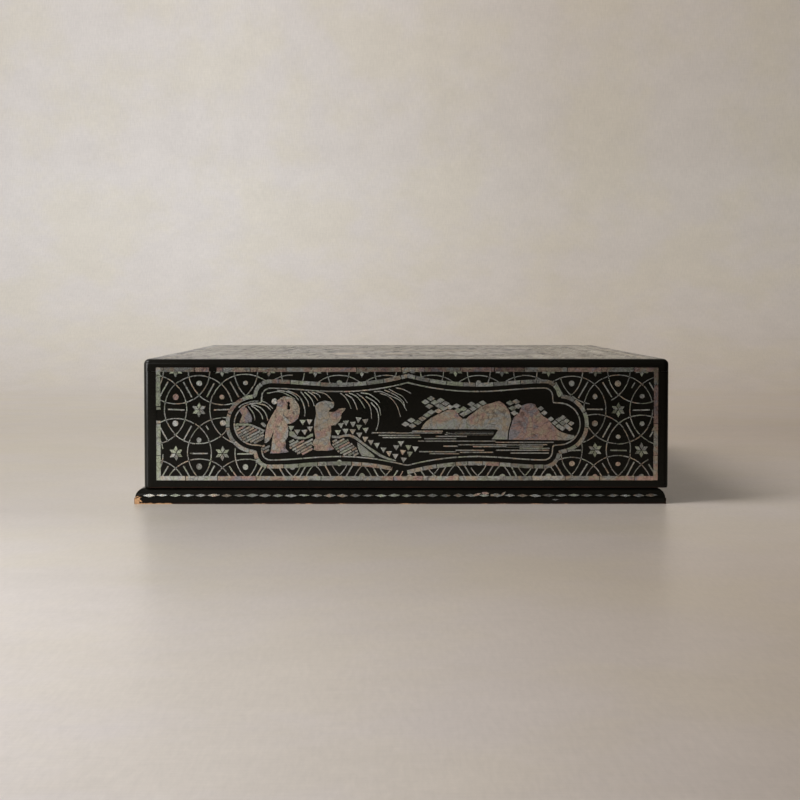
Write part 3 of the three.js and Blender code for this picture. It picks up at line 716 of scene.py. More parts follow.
def strip_tree():
    """Strips of shell laid end to end along drawn lines, with a dark joint between pieces."""
    own = dict.fromkeys(("Width", "Piece Length", "Variation", "Gap", "Facet", "Taper"), "Float")
    tree, add, given = start_tree("shell_strips", "Lines", own)
    drawn = add("GeometryNodeMeshToCurve", {0: given["Lines"]})
    fine = add("GeometryNodeResampleCurve", {0: drawn, 3: given["Gap"]}, mode="LENGTH")
    line = add("GeometryNodeCurveOfPoint").outputs["Curve Index"]
    along = add("GeometryNodeSplineParameter").outputs["Length"]
    pieces = add("ShaderNodeMath", {0: along, 1: given["Piece Length"]}, operation="DIVIDE")
    start = add("FunctionNodeRandomValue", {2: 0.0, 3: 1.0, "ID": line, "Seed": given["Seed"]}).outputs[1]
    place = add("ShaderNodeMath", {0: pieces, 1: start}, operation="ADD")
    # Pieces differ in length, and each one's number stays apart from those of other lines.
    wander = add("ShaderNodeMath", {0: line, 1: 13.7, 2: place}, operation="MULTIPLY_ADD")
    uneven = add("ShaderNodeTexNoise", {"W": wander, "Scale": 0.8, "Detail": 1}, noise_dimensions="1D")
    warped = add("ShaderNodeMath", {0: uneven, 1: given["Variation"], 2: place}, operation="MULTIPLY_ADD")
    whole = add("ShaderNodeMath", {0: warped}, operation="FLOOR")
    which = add("ShaderNodeMath", {0: line, 1: 997, 2: whole}, operation="MULTIPLY_ADD")
    number = {0: fine, "Name": "run", "Value": which}
    marked = add("GeometryNodeStoreNamedAttribute", number, data_type="INT")
    wire = add("GeometryNodeCurveToMesh", {0: marked})
    run = add("GeometryNodeInputNamedAttribute", {0: "run"}, data_type="INT")
    ends = add("GeometryNodeInputMeshEdgeVertices").outputs
    before, after = (add("GeometryNodeFieldAtIndex", {0: run, 1: end}, data_type="INT") for end in ends[:2])
    joint = add("FunctionNodeCompare", {2: before, 3: after}, data_type="INT", operation="NOT_EQUAL")
    luck = add("FunctionNodeRandomValue", {2: 0.0, 3: 1.0, "ID": before, "Seed": 3}).outputs[1]
    lost = add("FunctionNodeCompare", {0: luck, 1: given["Missing"]}, operation="LESS_THAN")
    gone = add("FunctionNodeBooleanMath", {0: joint, 1: lost}, operation="OR")
    cut = add("GeometryNodeDeleteGeometry", {0: wire, 1: gone}, domain="EDGE")
    short = add("GeometryNodeMeshToCurve", {0: cut})
    plain = add("GeometryNodeResampleCurve", {0: short, 3: given["Facet"]}, mode="LENGTH")
    loose = add("GeometryNodeSetPosition", {"Geometry": plain, "Offset": nudge(add, given, run)})
    flat = add("GeometryNodeSetCurveNormal", {0: loose}, mode="Z_UP")
    tint = {0: flat, "Name": "piece", 3: piece_tint(add, given, run)}
    tinted = add("GeometryNodeStoreNamedAttribute", tint, data_type="FLOAT_VECTOR")
    section = add("GeometryNodeCurvePrimitiveQuadrilateral", {0: given["Width"], 1: given["Thickness"]})
    factor = add("GeometryNodeSplineParameter").outputs["Factor"]
    loss = add("ShaderNodeMath", {0: factor, 1: given["Taper"]}, operation="MULTIPLY")
    size = add("ShaderNodeMath", {0: 1.0, 1: loss}, operation="SUBTRACT")
    strips = add("GeometryNodeCurveToMesh", {0: tinted, 1: section, "Scale": size, "Fill Caps": True})
    finish_tree(add, given, strips)
    return tree


def tile_tree():
    """Small flat tiles with equal sides, one on each given place."""
    tree, add, given = start_tree("shell_tiles", "Places", {"Sides": "Int", "Twist": "Float"})
    own = add("GeometryNodeInputIndex")
    angle, length, width = (
        add("GeometryNodeInputNamedAttribute", {0: name}, data_type="FLOAT")
        for name in ("angle", "length", "width")
    )
    tile = add("GeometryNodeMeshCylinder", {"Vertices": given["Sides"], "Radius": 1.0, "Depth": 1.0})
    luck = add("FunctionNodeRandomValue", {2: 0.0, 3: 1.0, "ID": own, "Seed": given["Seed"]}).outputs[1]
    kept = add("FunctionNodeCompare", {0: luck, 1: given["Missing"]}, operation="GREATER_EQUAL")
    near = add("ShaderNodeMath", {0: given["Twist"], 1: -1}, operation="MULTIPLY")
    twist = add("FunctionNodeRandomValue", {2: near, 3: given["Twist"], "ID": own, "Seed": 11}).outputs[1]
    turned = add("ShaderNodeMath", {0: angle, 1: twist}, operation="ADD")
    laid = {
        "Points": add("GeometryNodeSetPosition", {0: given["Places"], "Offset": nudge(add, given, own)}),
        "Selection": kept,
        "Instance": tile,
        "Rotation": add("FunctionNodeAxisAngleToRotation", {0: (0, 0, 1), 1: turned}),
        "Scale": add("ShaderNodeCombineXYZ", {0: length, 1: width, 2: given["Thickness"]}),
    }
    tiles = add("GeometryNodeInstanceOnPoints", laid)
    tint = {0: tiles, "Name": "piece", 3: piece_tint(add, given, own)}
    tinted = add("GeometryNodeStoreNamedAttribute", tint, data_type="FLOAT_VECTOR", domain="INSTANCE")
    finish_tree(add, given, tinted)
    return tree


def plane_matrix(origin, right, up):
    """From a drawing's right, up and out to the frame's axes."""
    return Matrix.Translation(origin) @ Matrix((right, up, right.cross(up))).transposed().to_4x4()


def face_frame(face):
    """A face's matrix from drawn millimetres to metres, its border's half sizes, and the cartouche's
    to the middle of its band.
    """
    right, up = (Vector(v) for v in FACES[face])
    out = right.cross(up)
    sizes = []
    for kind in ("border", "cartouche"):
        low, high = (Vector(c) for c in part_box(f"shell_{face}_{kind}"))
        sizes.append([abs((high - low).dot(way)) / 2 / MM for way in (right, up)])
        if kind == "border":
            middle = (low + high) / 2
            outer = high if out.dot(Vector((1, 1, 1))) > 0 else low
            origin = middle - out * middle.dot(out) + out * outer.dot(out)
    matrix = plane_matrix(origin, right, up) @ Matrix.Scale(MM, 4)
    return matrix, sizes[0], [size - GROOVE_WIDTH / 2 for size in sizes[1]]


def seen_piece(name, mesh, body, replaced=()):
    """A finished mesh as a piece that rides on a body."""
    solid = bmesh.new()
    solid.from_mesh(mesh)
    bmesh.ops.recalc_face_normals(solid, faces=solid.faces)
    solid.to_mesh(mesh)
    solid.free()
    mesh.shade_flat()
    mesh.name = name
    piece = bpy.data.objects.new(name, mesh)
    bpy.context.scene.collection.objects.link(piece)
    if replaced:
        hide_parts(*replaced)
    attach(piece, body)


def grow(name, tree, mesh, matrix, sizes, body="cover", replaced=()):
    """Runs a tree on drawn lines or places, and lays the result on a face as a plain mesh."""
    holder = bpy.data.objects.new(name, mesh)
    bpy.context.scene.collection.objects.link(holder)
    modifier = holder.modifiers.new("shell", "NODES")
    modifier.node_group = tree
    for item in tree.interface.items_tree:
        if item.in_out == "INPUT" and item.name in sizes:
            modifier[item.identifier] = sizes[item.name]
    depsgraph = bpy.context.evaluated_depsgraph_get()
    result = bpy.data.meshes.new_from_object(
        holder.evaluated_get(depsgraph), preserve_all_data_layers=True, depsgraph=depsgraph
    )
    holder.modifiers.clear()
    bpy.data.objects.remove(holder)
    bpy.data.meshes.remove(mesh)
    if not result.polygons:
        raise RuntimeError(f"{name}: the tree made nothing")
    result.transform(matrix @ Matrix.Scale(1 / MM, 4))
    seen_piece(name, result, body, replaced)


def lay_strips(name, matrix, lines, sizes, **more):
    """Strips along drawn lines, which become loose edges in metres."""
    mesh = bpy.data.meshes.new("lines")
    points, edges = [], []
    for line in lines:
        first = len(points)
        points += [(x * MM, y * MM, 0) for x, y in line]
        edges += [(i, i + 1) for i in range(first, len(points) - 1)]
    mesh.from_pydata(points, edges, [])
    tree = bpy.data.node_groups.get("shell_strips") or strip_tree()
    grow(name, tree, mesh, matrix, sizes, **more)


def lay_tiles(name, matrix, tiles, sizes, **more):
    """Tiles on places, which become points in metres with the tile's angle and its reach both ways."""
    mesh = bpy.data.meshes.new("places")
    mesh.from_pydata([(x * MM, y * MM, 0) for x, y, *_ in tiles], [], [])
    for index, title, unit in ((2, "angle", math.pi / 180), (3, "length", MM / 2), (4, "width", MM / 2)):
        attribute = mesh.attributes.new(title, "FLOAT", "POINT")
        attribute.data.foreach_set("value", [tile[index] * unit for tile in tiles])
    tree = bpy.data.node_groups.get("shell_tiles") or tile_tree()
    grow(name, tree, mesh, matrix, sizes, **more)


def shell_sizes(kind, seed, own, more):
    """What each tree needs, in metres. Without more it gives a fine piece that is glued on."""
    shell, _ = settings()
    tones, lights = TINTS[kind]
    sizes = {
        "Thickness": shell.proud * LINE_SHARE + GLUED_SEAT * MM,
        "Seat": GLUED_SEAT * MM,
        "Missing": 0.0,
        "Tint From": (tones[0], lights[0], 0),
        "Tint To": (tones[1], lights[1], 1),
        "Seed": seed,
        "Material": bpy.data.materials["mother_of_pearl"],
    }
    return sizes | own | {name.replace("_", " "): value for name, value in more.items()}


def strip_sizes(kind, width, piece_length, seed, **more):
    """What the strip tree needs, in metres."""
    own = {"Width": width, "Piece Length": piece_length, "Variation": 1.2, "Gap": settings()[0].gap}
    own |= {"Facet": 2 * MM, "Looseness": 0.08 * MM, "Taper": 0.0}
    return shell_sizes(kind, seed, own, more)


def groove_sizes(kind, width, piece_length, seed, **more):
    """What the strip tree needs for strips that lie in a packed groove."""
    deep = {"Thickness": settings()[0].proud + GROOVE_SEAT * MM, "Seat": GROOVE_SEAT * MM}
    return strip_sizes(kind, width, piece_length, seed, **deep, **more)


def tile_sizes(kind, sides, seed, **more):
    """What the tile tree needs, in metres and radians."""
    own = {"Sides": sides, "Looseness": 0.15 * MM, "Twist": math.radians(4)}
    return shell_sizes(kind, seed, own, more)


def cartouche_outline(half_length, peak):
    """The cartouche's closed outline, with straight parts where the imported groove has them."""
    dip, lobe = peak * DIP_SHARE, peak * LOBE_SHARE
    shoulder, rise = peak * SHOULDER_SHARE, peak * SHOULDER_RISE_SHARE
    lobe_x = half_length - lobe
    edge_end = lobe_x - shoulder
    reach = dip + rise - lobe
    edge_steps = 2 * math.ceil(edge_end / EDGE_CHORD / 2)
    shoulder_steps = math.ceil(max(shoulder, reach) * math.pi / 2 / ARC_CHORD)
    lobe_steps = math.ceil(lobe * math.pi / 2 / ARC_CHORD)
    quarter = []
    for step in range(edge_steps):
        along = step / edge_steps
        if along < 0.5:
            extra = (peak - dip) * (1 - along * 2) ** 2
        else:
            extra = rise * (1 - math.cos((along - 0.5) * 2 * math.pi)) * 0.5
        quarter.append((along * edge_end, dip + extra))
    for step in range(shoulder_steps):
        turn = step / shoulder_steps * math.pi / 2
        quarter.append((edge_end + shoulder * math.sin(turn), lobe + reach * math.cos(turn)))
    for step in range(lobe_steps + 1):
        turn = step / lobe_steps * math.pi / 2
        quarter.append((lobe_x + lobe * math.sin(turn), lobe * math.cos(turn)))
    half = quarter + [(x, -y) for x, y in quarter[-2::-1]]
    return half + [(-x, y) for x, y in half[-2:0:-1]]


def moved_inwards(outline, distance):
    """A closed clockwise outline, with each corner moved inwards by a distance."""
    moved = []
    for i, (x, y) in enumerate(outline):
        before, after = outline[i - 1], outline[(i + 1) % len(outline)]
        first = Vector((y - before[1], before[0] - x)).normalized()
        second = Vector((after[1] - y, x - after[0])).normalized()
        middle = (first + second).normalized()
        reach = distance / max(0.5, middle.dot(second))
        moved.append((x + middle.x * reach, y + middle.y * reach))
    return moved


def away(x, y, reach, turn):
    """The place that lies a reach away from another in a direction."""
    return x + reach * math.cos(turn), y + reach * math.sin(turn)


def inside(outline, x, y):
    """Whether a point lies inside a closed outline."""
    odd = False
    for i, (ax, ay) in enumerate(outline):
        bx, by = outline[i - 1]
        if (ay > y) != (by > y) and x < ax + (y - ay) / (by - ay) * (bx - ax):
            odd = not odd
    return odd


def runs_where(line, wanted):
    """The stretches of a line whose points are wanted."""
    runs = [[]]
    for point in line:
        if wanted(*point):
            runs[-1].append(point)
        else:
            runs.append([])
    return [run for run in runs if len(run) > 1]


def hatched(outline, angle, pitch):
    """Parallel lines across an outline."""
    turn = math.radians(angle)
    ahead = (math.cos(turn), math.sin(turn))
    rotated = [(x * ahead[0] + y * ahead[1], y * ahead[0] - x * ahead[1]) for x, y in outline]
    lines = []
    level = min(v for _, v in rotated) + pitch * 0.6
    while level < max(v for _, v in rotated):
        crossings = []
        for i, (u, v) in enumerate(rotated):
            pu, pv = rotated[i - 1]
            if (v > level) != (pv > level):
                crossings.append(u + (level - v) / (pv - v) * (pu - u))
        crossings.sort()
        for ends in zip(crossings[::2], crossings[1::2]):
            if ends[1] - ends[0] > pitch:
                line = [(u * ahead[0] - level * ahead[1], u * ahead[1] + level * ahead[0]) for u in ends]
                lines.append(line)
        level += pitch
    return lines


def bow(points, steps=5):
    """A smooth line through a few drawn points."""
    before, after = (
        tuple(2 * a - b for a, b in zip(end, next_to_end))
        for end, next_to_end in ((points[0], points[1]), (points[-1], points[-2]))
    )
    ends = [before, *points, after]
    line = []
    for drawn in zip(ends, ends[1:], ends[2:], ends[3:]):
        for t in (step / steps for step in range(steps)):
            point = []
            for a, b, c, d in zip(*drawn):
                bend, swing = 2 * a - 5 * b + 4 * c - d, 3 * b - a - 3 * c + d
                point.append(0.5 * (2 * b + (c - a) * t + bend * t * t + swing * t**3))
            line.append(tuple(point))
    return line + [points[-1]]


def add_borders():
    shell, _ = settings()
    for seed, face in enumerate(FACES):
        matrix, (half_x, half_y), _ = face_frame(face)
        x, y = half_x - STRIP_WIDTH / 2, half_y - STRIP_WIDTH / 2
        end = half_x - STRIP_WIDTH
        left, right = ([[(side * x, -half_y), (side * x, half_y)]] for side in (-1, 1))
        below, above = ([[(-end, side * y), (end, side * y)]] for side in (-1, 1))
        if face == "front":
            left = [[(-x, -half_y), (-x, LOST_AT_LEFT[0])], [(-x, LOST_AT_LEFT[1]), (-x, half_y)]]
            above = [[(-end, y), (LOST_ABOVE[0], y)], [(LOST_ABOVE[1], y), (end, y)]]
        # Painted light and shade: the left and bottom strips get brighter tints than those on the right and
        # at the top.
        for kind, lines in (("border", right + above), ("green_border", left), ("pale_border", below)):
            laid = {"Facet": 100 * MM, "Looseness": 0.05 * MM}
            sizes = groove_sizes(kind, STRIP_WIDTH * MM, shell.strip_length, 20 + seed, **laid)
            replaced = [f"shell_{face}_border"] if kind == "border" else []
            lay_strips(f"{face}_{kind}_strips", matrix, lines, sizes, replaced=replaced)


def add_cartouches():
    shell, _ = settings()
    for seed, face in enumerate(FACES):
        matrix, _, half_sizes = face_frame(face)
        outline = cartouche_outline(*half_sizes)
        bands = [outline + outline[:1]]
        if face == "front":
            bands = runs_where(bands[0], lambda x, y: y > 0 or not LOST_BELOW[0] < x < LOST_BELOW[1])
        sizes = groove_sizes("band", BAND_WIDTH * MM, shell.band_length, 40 + seed, Facet=1.6 * MM)
        lay_strips(f"{face}_cartouche_band", matrix, bands, sizes, replaced=[f"shell_{face}_cartouche"])
        inner = moved_inwards(outline, INNER_LINE)
        sizes = strip_sizes("line", shell.inner_line_width, 20 * MM, 60 + seed, Facet=1.6 * MM)
        lay_strips(f"{face}_cartouche_line", matrix, [inner + inner[:1]], sizes)


def lattice_points(half_x, half_y, pitch, centre):
    """The stars of a triangular lattice that covers a face."""
    row = pitch * ROW_SHARE
    columns, rows = int(half_x / pitch) + 2, int(half_y / row) + 2
    return [
        (centre[0] + (i + (j % 2) / 2) * pitch, centre[1] + j * row)
        for j in range(-rows, rows + 1)
        for i in range(-columns, columns + 1)
    ]


def add_diaper():
    """Stars on a triangular lattice, each ringed by a circle, with bars and dots between them."""
    shell, _ = settings()
    pitch, star, radius = (v / MM for v in (shell.lattice_pitch, shell.star_radius, shell.circle_radius))
    for seed, face in enumerate(FACES):
        matrix, (half_x, half_y), half_sizes = face_frame(face)
        outline = cartouche_outline(*half_sizes)
        limits = half_x - STRIP_WIDTH * 0.6, half_y - STRIP_WIDTH * 0.6
        chance = random.Random(seed)

        def free(x, y):
            return abs(x) < limits[0] and abs(y) < limits[1] and not inside(outline, x, y)

        circles, bars, dots, rhombs = [], [], [], []
        for x, y in lattice_points(half_x, half_y, pitch, LATTICE_CENTRE if face == "front" else (0, 0)):
            if face == "front" and x < SAGGING[0] and y < SAGGING[1]:
                y -= SAG
            middle = [value + chance.uniform(-MIDDLE_ERROR, MIDDLE_ERROR) for value in (x, y)]
            reach = radius + chance.uniform(-RADIUS_ERROR, RADIUS_ERROR)
            ring = [away(*middle, reach, math.tau * step / RING_SIDES) for step in range(RING_SIDES)]
            circles += [run for run in runs_where(ring + ring[:1], free) if len(run) > 4]
            for across in (math.radians(angle) for angle in (0, 60, 120)):
                turn = across + chance.uniform(-BAR_TURN, BAR_TURN)
                half = shell.bar_length / MM / 2 * chance.uniform(*BAR_LENGTHS)
                place = away(x, y, pitch / 2, across)
                bar = [away(*place, half * (step / 5), turn) for step in range(-5, 6)]
                bars += [run for run in runs_where(bar, free) if len(run) > 3]
            for side in (-1, 1):
                dot = (x + pitch / 2, y + side * pitch * ROW_SHARE / 3)
                if free(*dot):
                    size = shell.dot_size / MM * chance.uniform(*DOT_LENGTHS)
                    dots.append((*dot, 0, size, size * chance.uniform(*DOT_WIDTHS)))
            for turn in (math.radians(angle) for angle in range(30, 390, 60)):
                rhomb, tip = (away(x, y, share * star, turn) for share in (RHOMB_PLACE, 1))
                if free(*rhomb) and free(*tip):
                    rhombs.append((*rhomb, math.degrees(turn), star * RHOMB_LENGTH, star * RHOMB_WIDTH))
        fine = strip_sizes("circle", shell.line_width, 11 * MM, 80 + seed, Missing=0.05, Looseness=0.16 * MM)
        lay_strips(f"{face}_diaper_circles", matrix, circles, fine)
        wide = strip_sizes("bar", shell.bar_width, 60 * MM, 90 + seed, Missing=0.03, Looseness=0.3 * MM)
        lay_strips(f"{face}_diaper_bars", matrix, bars, wide)
        lay_tiles(f"{face}_diaper_dots", matrix, dots, tile_sizes("dot", 12, 100 + seed, Looseness=0.35 * MM))
        lay_tiles(f"{face}_diaper_stars", matrix, rhombs, tile_sizes("star", 4, 110 + seed, Missing=0.02))


def flat_piece(loops, low, high):
    """A flat closed solid from an outline and its holes, as points and faces."""
    flat = [[Vector((x, y, 0)) for x, y in loop] for loop in loops]
    triangles = tessellate_polygon(flat)
    count = sum(len(loop) for loop in loops)
    points = [(p.x, p.y, z) for z in (low, high) for loop in flat for p in loop]
    faces = [tuple(i + offset for i in triangle) for triangle in triangles for offset in (0, count)]
    start = 0
    for loop in loops:
        for i in range(len(loop)):
            a, b = start + i, start + (i + 1) % len(loop)
            faces.append((a, b, b + count, a + count))
        start += len(loop)
    return points, faces


def add_plaques(name, plaques, matrix):
    """Larger plates of shell, cut to an outline: (loops, tone, brightness, tone's growth right and up)."""
    points, faces, tints = [], [], []
    for loops, tone, light, *growth in plaques:
        some_points, some_faces = flat_piece(loops, -GLUED_SEAT, settings()[0].proud / MM)
        faces += [tuple(i + len(points) for i in face) for face in some_faces]
        points += some_points
        centre = [sum(point[axis] for point in some_points) / len(some_points) for axis in (0, 1)]
        shift = (len(tints) * 0.37) % 1
        for point in some_points:
            grown = sum((point[axis] - centre[axis]) * growth[axis] for axis in (0, 1)) / 10
            tints.append((tone + grown, light, shift))
    mesh = bpy.data.meshes.new(name)
    mesh.from_pydata(points, [], faces)
    attribute = mesh.attributes.new("piece", "FLOAT_VECTOR", "POINT")
    attribute.data.foreach_set("vector", [value for tint in tints for value in tint])
    mesh.materials.append(bpy.data.materials["mother_of_pearl"])
    mesh.transform(matrix)
    seen_piece(name, mesh, "cover")


def add_pictures():
    for seed, face in enumerate(FACES):
        matrix = face_frame(face)[0]
        lines = {name: [] for name in PICTURE_STRIPS}
        triangles, checks, plaques = [], [], []
        for part, scale, right, up, mirrored in PICTURES[face]:

            def lay(points):
                laid = [((-x if mirrored else x) * scale + right, y * scale + up) for x, y in points]
                return [(y, -x) for x, y in laid] if face == "top" else laid

            turn = -90 if face == "top" else 0
            if part == "bank":
                plaques += [([lay(loop) for loop in loops], *tint) for loops, tint in FIGURES]
                plaques += [([lay(bank)], 0.1 + 0.08 * i, 1, 0, 0) for i, bank in enumerate(BANKS)]
                rows = [row for field in FIELDS for row in hatched(field, FIELD_ANGLE, FIELD_PITCH)]
                lines["fields"] += [lay(row) for row in rows]
                lines["willow_fronds"] += [lay(bow(frond)) for frond in FRONDS]
                size = TRIANGLE_SIZE * scale
                triangles += [(*point, turn - 90, size, size) for point in lay(TRIANGLES)]
            else:
                plaques += [([lay(hill)], *tint) for hill, tint in zip(HILLS, HILL_TINTS)]
                for places, (length, width) in ((CHECKS, CHECK_SIZE), (SMALL_CHECKS, SMALL_CHECK_SIZE)):
                    checks += [(*point, turn, length * scale, width * scale) for point in lay(places)]
                lines["water_lines"] += [lay([(x1, y), (x2, y)]) for x1, x2, y in WATER]
                lines["pools"] += [lay([(x1, y), (x2, y)]) for x1, x2, y in POOLS]
        for name, (kind, width, piece_length, first_seed, more) in PICTURE_STRIPS.items():
            sizes = strip_sizes(kind, width * MM, piece_length * MM, first_seed + seed, **more)
            lay_strips(f"{face}_{name}", matrix, lines[name], sizes)
        tufts = tile_sizes("grass", 3, 150 + seed, Twist=math.radians(7))
        lay_tiles(f"{face}_grass", matrix, triangles, tufts)
        puffs = tile_sizes("cloud", 4, 160 + seed, Twist=math.radians(6), Looseness=0.12 * MM)
        lay_tiles(f"{face}_clouds", matrix, checks, puffs)
        add_plaques(f"{face}_plaques", plaques, matrix)


def lozenge_frame(face):
    """The matrix of a plinth face's row, tilted back with its rounded edge, and half the face's length."""
    right, up = (Vector(v) for v in FACES[face])
    out = right.cross(up)
    low, high = (Vector(c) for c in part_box(f"plinth_{face}_moulding"))
    outer = max(abs(low.dot(out)), abs(high.dot(out)))
    origin = out * (outer - LOZENGE_DEPTH * MM) + up * LOZENGE_HEIGHT * MM
    tilt = Matrix.Rotation(math.radians(LOZENGE_TILT), 4, "X")
    matrix = plane_matrix(origin, right, up) @ tilt @ Matrix.Scale(MM, 4)
    return matrix, abs((high - low).dot(right)) / 2 / MM


def add_lozenges():
    """The row of shell lozenges round the plinth, and the scraps that mend the front one."""
    pitch = settings()[0].lozenge_pitch / MM
    for seed, face in enumerate(("front", "right", "back", "left")):
        matrix, half = lozenge_frame(face)
        count = int((2 * half - 6) / pitch)
        chance = random.Random(seed)
        tiles = []
        for i in range(count):
            size = chance.uniform(*LOZENGE_LENGTHS), chance.uniform(*LOZENGE_WIDTHS)
            tiles.append(((i - (count - 1) / 2) * pitch, 0, 0, *size))
        if face == "front":
            tiles += SMALL_LOZENGES
        thick = {"Seat": LOZENGE_SEAT * MM, "Thickness": 0.2 * MM, "Twist": math.radians(3)}
        sizes = tile_sizes("lozenge", 4, 170 + seed, Missing=0.04, **thick)
        lay_tiles(f"{face}_plinth_lozenges", matrix, tiles, sizes, body="tray")
    thick = {"Seat": LOZENGE_SEAT * MM, "Thickness": 0.22 * MM, "Twist": math.radians(30)}
    scraps = tile_sizes("scrap", 5, 180, **thick)
    lay_tiles("front_plinth_mends", lozenge_frame("front")[0], PLINTH_MENDS, scraps, body="tray")


def shading_tree():
    """Smooth faces, with a crease at each edge that turns more than the crease angle."""
    tree = bpy.data.node_groups.new("creased_shading", "GeometryNodeTree")
    for way in ("INPUT", "OUTPUT"):
        tree.interface.new_socket("Geometry", in_out=way, socket_type="NodeSocketGeometry")
    add = partial(node, tree)
    smooth = add("GeometryNodeSetShadeSmooth", {0: add("NodeGroupInput"), 2: True}, domain="FACE")
    angles = {0: add("GeometryNodeInputMeshEdgeAngle"), 1: math.radians(CREASE_ANGLE)}
    sharp = add("FunctionNodeCompare", angles, operation="GREATER_THAN")
    creased = add("GeometryNodeSetShadeSmooth", {0: smooth, 1: sharp, 2: False}, domain="EDGE")
    add("NodeGroupOutput", {0: creased})
    return tree


def dress_boards():
    """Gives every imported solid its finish, joined faces and a smooth turn on its rounded edges."""
    reaches = []
    for part in ("cover", "plinth"):
        boxes = [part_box(name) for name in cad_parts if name.startswith(part) and "peg" not in name]
        low, high = (
            Vector([pick(box[end][axis] for box in boxes) for axis in range(3)])
            for end, pick in ((0, min), (1, max))
        )
        reaches.append((low, high))
    finishes = {
        "cover": lacquer("polished_lacquer", *reaches[0], COVER_WEAR, False),
        "plinth": lacquer("polished_lacquer_foot", *reaches[1], FOOT_WEAR, True),
        "tray": brushed_lacquer(),
        "peg": split_bamboo(),
        "shell": mother_of_pearl(),
    }
    shading = shading_tree()
    for name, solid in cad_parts.items():
        kind = "peg" if "_peg_" in name else name.split("_")[0]
        solid.data.materials.clear()
        solid.data.materials.append(finishes[kind])
        solid.modifiers.new("joined", "WELD").merge_threshold = 0.001 * MM
        solid.modifiers.new("creases", "NODES").node_group = shading
        solid.modifiers.new("flat_faces", "WEIGHTED_NORMAL").keep_sharp = True


def add_floor():
    """A canvas sweep: flat under the box, then up a cove to a wall."""
    profile = [(-SWEEP_FRONT, 0)]
    for turn in (step / COVE_STEPS * math.pi / 2 for step in range(COVE_STEPS + 1)):
        profile.append((SWEEP_BACK + SWEEP_COVE * math.sin(turn), SWEEP_COVE * (1 - math.cos(turn))))
    profile.append((SWEEP_BACK + SWEEP_COVE, SWEEP_HEIGHT))
    mesh = bpy.data.meshes.new("floor")
    points = [(x, y, z) for y, z in profile for x in (-SWEEP_REACH, SWEEP_REACH)]
    mesh.from_pydata(points, [], [(i, i + 1, i + 3, i + 2) for i in range(0, len(points) - 2, 2)])
    mesh.shade_smooth()
    mesh.materials.append(painted_canvas())
    floor = bpy.data.objects.new("floor", mesh)
    bpy.context.scene.collection.objects.link(floor)


def add_lamp(name, place, target, size, power):
    lamp = bpy.data.lights.new(name, "AREA")
    lamp.shape = "RECTANGLE"
    lamp.size, lamp.size_y = size
    lamp.energy = power
    holder = bpy.data.objects.new(name, lamp)
    bpy.context.scene.collection.objects.link(holder)
    holder.location = place
    holder.rotation_euler = (Vector(target) - Vector(place)).to_track_quat("-Z", "Y").to_euler()


def add_world():
    """A dim room. In mirrors and to the eye it has a pale wall, and a bright panel, on the left."""
    world = bpy.data.worlds.new("studio")
    bpy.context.scene.world = world
    world.use_nodes = True
    add = partial(node, world.node_tree)
    side, _, up = add("ShaderNodeSeparateXYZ", {0: add("ShaderNodeTexCoord").outputs["Generated"]}).outputs
    wall = {"Value": side, "From Min": 0.18, "From Max": -0.5, "To Min": 0.04, "To Max": 0.8}
    panel = {"Value": side, "From Min": -0.5, "From Max": -0.85, "To Max": 1.4}
    above = {"Value": up, "From Min": -0.15, "From Max": 0.1, "To Min": 0.08}
    wall, panel, above = (add("ShaderNodeMapRange", inputs) for inputs in (wall, panel, above))
    left = add("ShaderNodeMath", {0: wall, 1: panel}, operation="ADD")
    room = add("ShaderNodeMath", {0: left, 1: above}, operation="MULTIPLY")
    rays = add("ShaderNodeLightPath").outputs
    seen = add("ShaderNodeMath", {0: rays["Is Glossy Ray"], 1: rays["Is Camera Ray"]}, operation="ADD")
    strength = add("ShaderNodeMix", {0: seen, 2: ROOM_LIGHT, 3: room})
    plug(world.node_tree.nodes["Background"], {"Color": linear("#E6DFD5"), "Strength": strength})


def add_camera():
    data = bpy.data.cameras.new("camera")
    data.sensor_width = 36.0
    data.lens = 36.0 * FOCAL_PIXELS / PICTURE_PIXELS
    data.clip_end = 50
    camera = bpy.data.objects.new("camera", data)
    bpy.context.scene.collection.objects.link(camera)
    camera.location = CAMERA_PLACE
    right, down = (math.atan(pixels / FOCAL_PIXELS) for pixels in CAMERA_TURN)
    camera.rotation_euler = (math.pi / 2 - down, 0, -right)
    bpy.context.scene.camera = camera


class LACQUERBOX_OT_boards(bpy.types.Operator):
    """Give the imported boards, mouldings and pegs their finishes"""

    bl_idname = "lacquer_box.boards"
    bl_label = "Finish Boards"

    def execute(self, context):
        dress_boards()
        return {"FINISHED"}


class LACQUERBOX_OT_borders(bpy.types.Operator):
    """Lay the strips of each face's border in its groove"""

    bl_idname = "lacquer_box.borders"
    bl_label = "Lay Borders"

    def execute(self, context):
        add_borders()
        return {"FINISHED"}


class LACQUERBOX_OT_cartouches(bpy.types.Operator):
    """Lay each cartouche's band in its groove, and the fine line inside it"""

    bl_idname = "lacquer_box.cartouches"
    bl_label = "Lay Cartouches"

    def execute(self, context):
        add_cartouches()
        return {"FINISHED"}


class LACQUERBOX_OT_diaper(bpy.types.Operator):
    """Lay the circles, bars, dots and stars round each cartouche"""

    bl_idname = "lacquer_box.diaper"
    bl_label = "Lay Diaper"

    def execute(self, context):
        add_diaper()
        return {"FINISHED"}


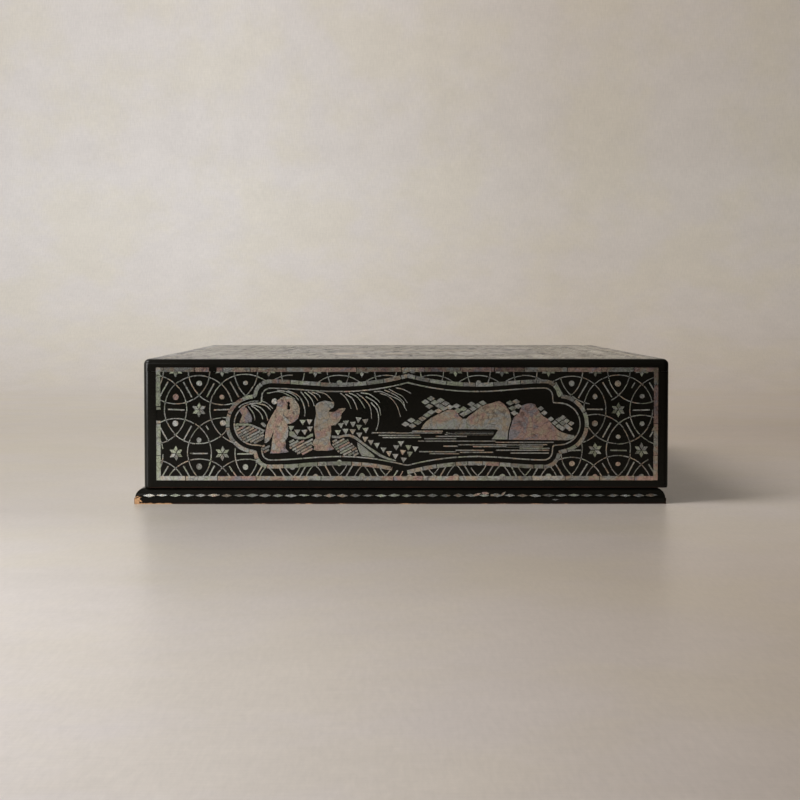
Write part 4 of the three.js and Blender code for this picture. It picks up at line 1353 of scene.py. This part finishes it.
class LACQUERBOX_OT_pictures(bpy.types.Operator):
    """Lay the landscape inside each cartouche"""

    bl_idname = "lacquer_box.pictures"
    bl_label = "Lay Pictures"

    def execute(self, context):
        add_pictures()
        return {"FINISHED"}


class LACQUERBOX_OT_lozenges(bpy.types.Operator):
    """Lay the row of lozenges round the plinth"""

    bl_idname = "lacquer_box.lozenges"
    bl_label = "Lay Plinth Lozenges"

    def execute(self, context):
        add_lozenges()
        return {"FINISHED"}


class LACQUERBOX_OT_stage(bpy.types.Operator):
    """Set the floor, lamps, world and camera"""

    bl_idname = "lacquer_box.stage"
    bl_label = "Set Stage"

    def execute(self, context):
        add_camera()
        add_floor()
        for lamp in LAMPS:
            add_lamp(*lamp)
        add_world()
        context.scene.view_settings.view_transform = "Standard"
        return {"FINISHED"}


OPERATORS = (
    LACQUERBOX_OT_boards,
    LACQUERBOX_OT_borders,
    LACQUERBOX_OT_cartouches,
    LACQUERBOX_OT_diaper,
    LACQUERBOX_OT_pictures,
    LACQUERBOX_OT_lozenges,
    LACQUERBOX_OT_stage,
)


class LACQUERBOX_PT_panel(bpy.types.Panel):
    """Lists the pieces of the box and the values that a user would change"""

    bl_label = "Lacquer Box"
    bl_idname = "LACQUERBOX_PT_panel"
    bl_space_type = "VIEW_3D"
    bl_region_type = "UI"
    bl_category = "Lacquer Box"

    def draw(self, context):
        for group in (context.scene.lacquer_shell, context.scene.lacquer_colours):
            column = self.layout.column()
            for name in group.__annotations__:
                column.prop(group, name)
        for operator in OPERATORS:
            self.layout.operator(operator.bl_idname)


CLASSES = (ShellSizes, FinishColours, *OPERATORS, LACQUERBOX_PT_panel)


def register():
    for each in CLASSES:
        bpy.utils.register_class(each)
    bpy.types.Scene.lacquer_shell = bpy.props.PointerProperty(type=ShellSizes)
    bpy.types.Scene.lacquer_colours = bpy.props.PointerProperty(type=FinishColours)


def unregister():
    del bpy.types.Scene.lacquer_colours
    del bpy.types.Scene.lacquer_shell
    for each in reversed(CLASSES):
        bpy.utils.unregister_class(each)


def main():
    register()
    for operator in OPERATORS:
        group, name = operator.bl_idname.split(".")
        getattr(getattr(bpy.ops, group), name)()


if __name__ == "__main__":
    main()
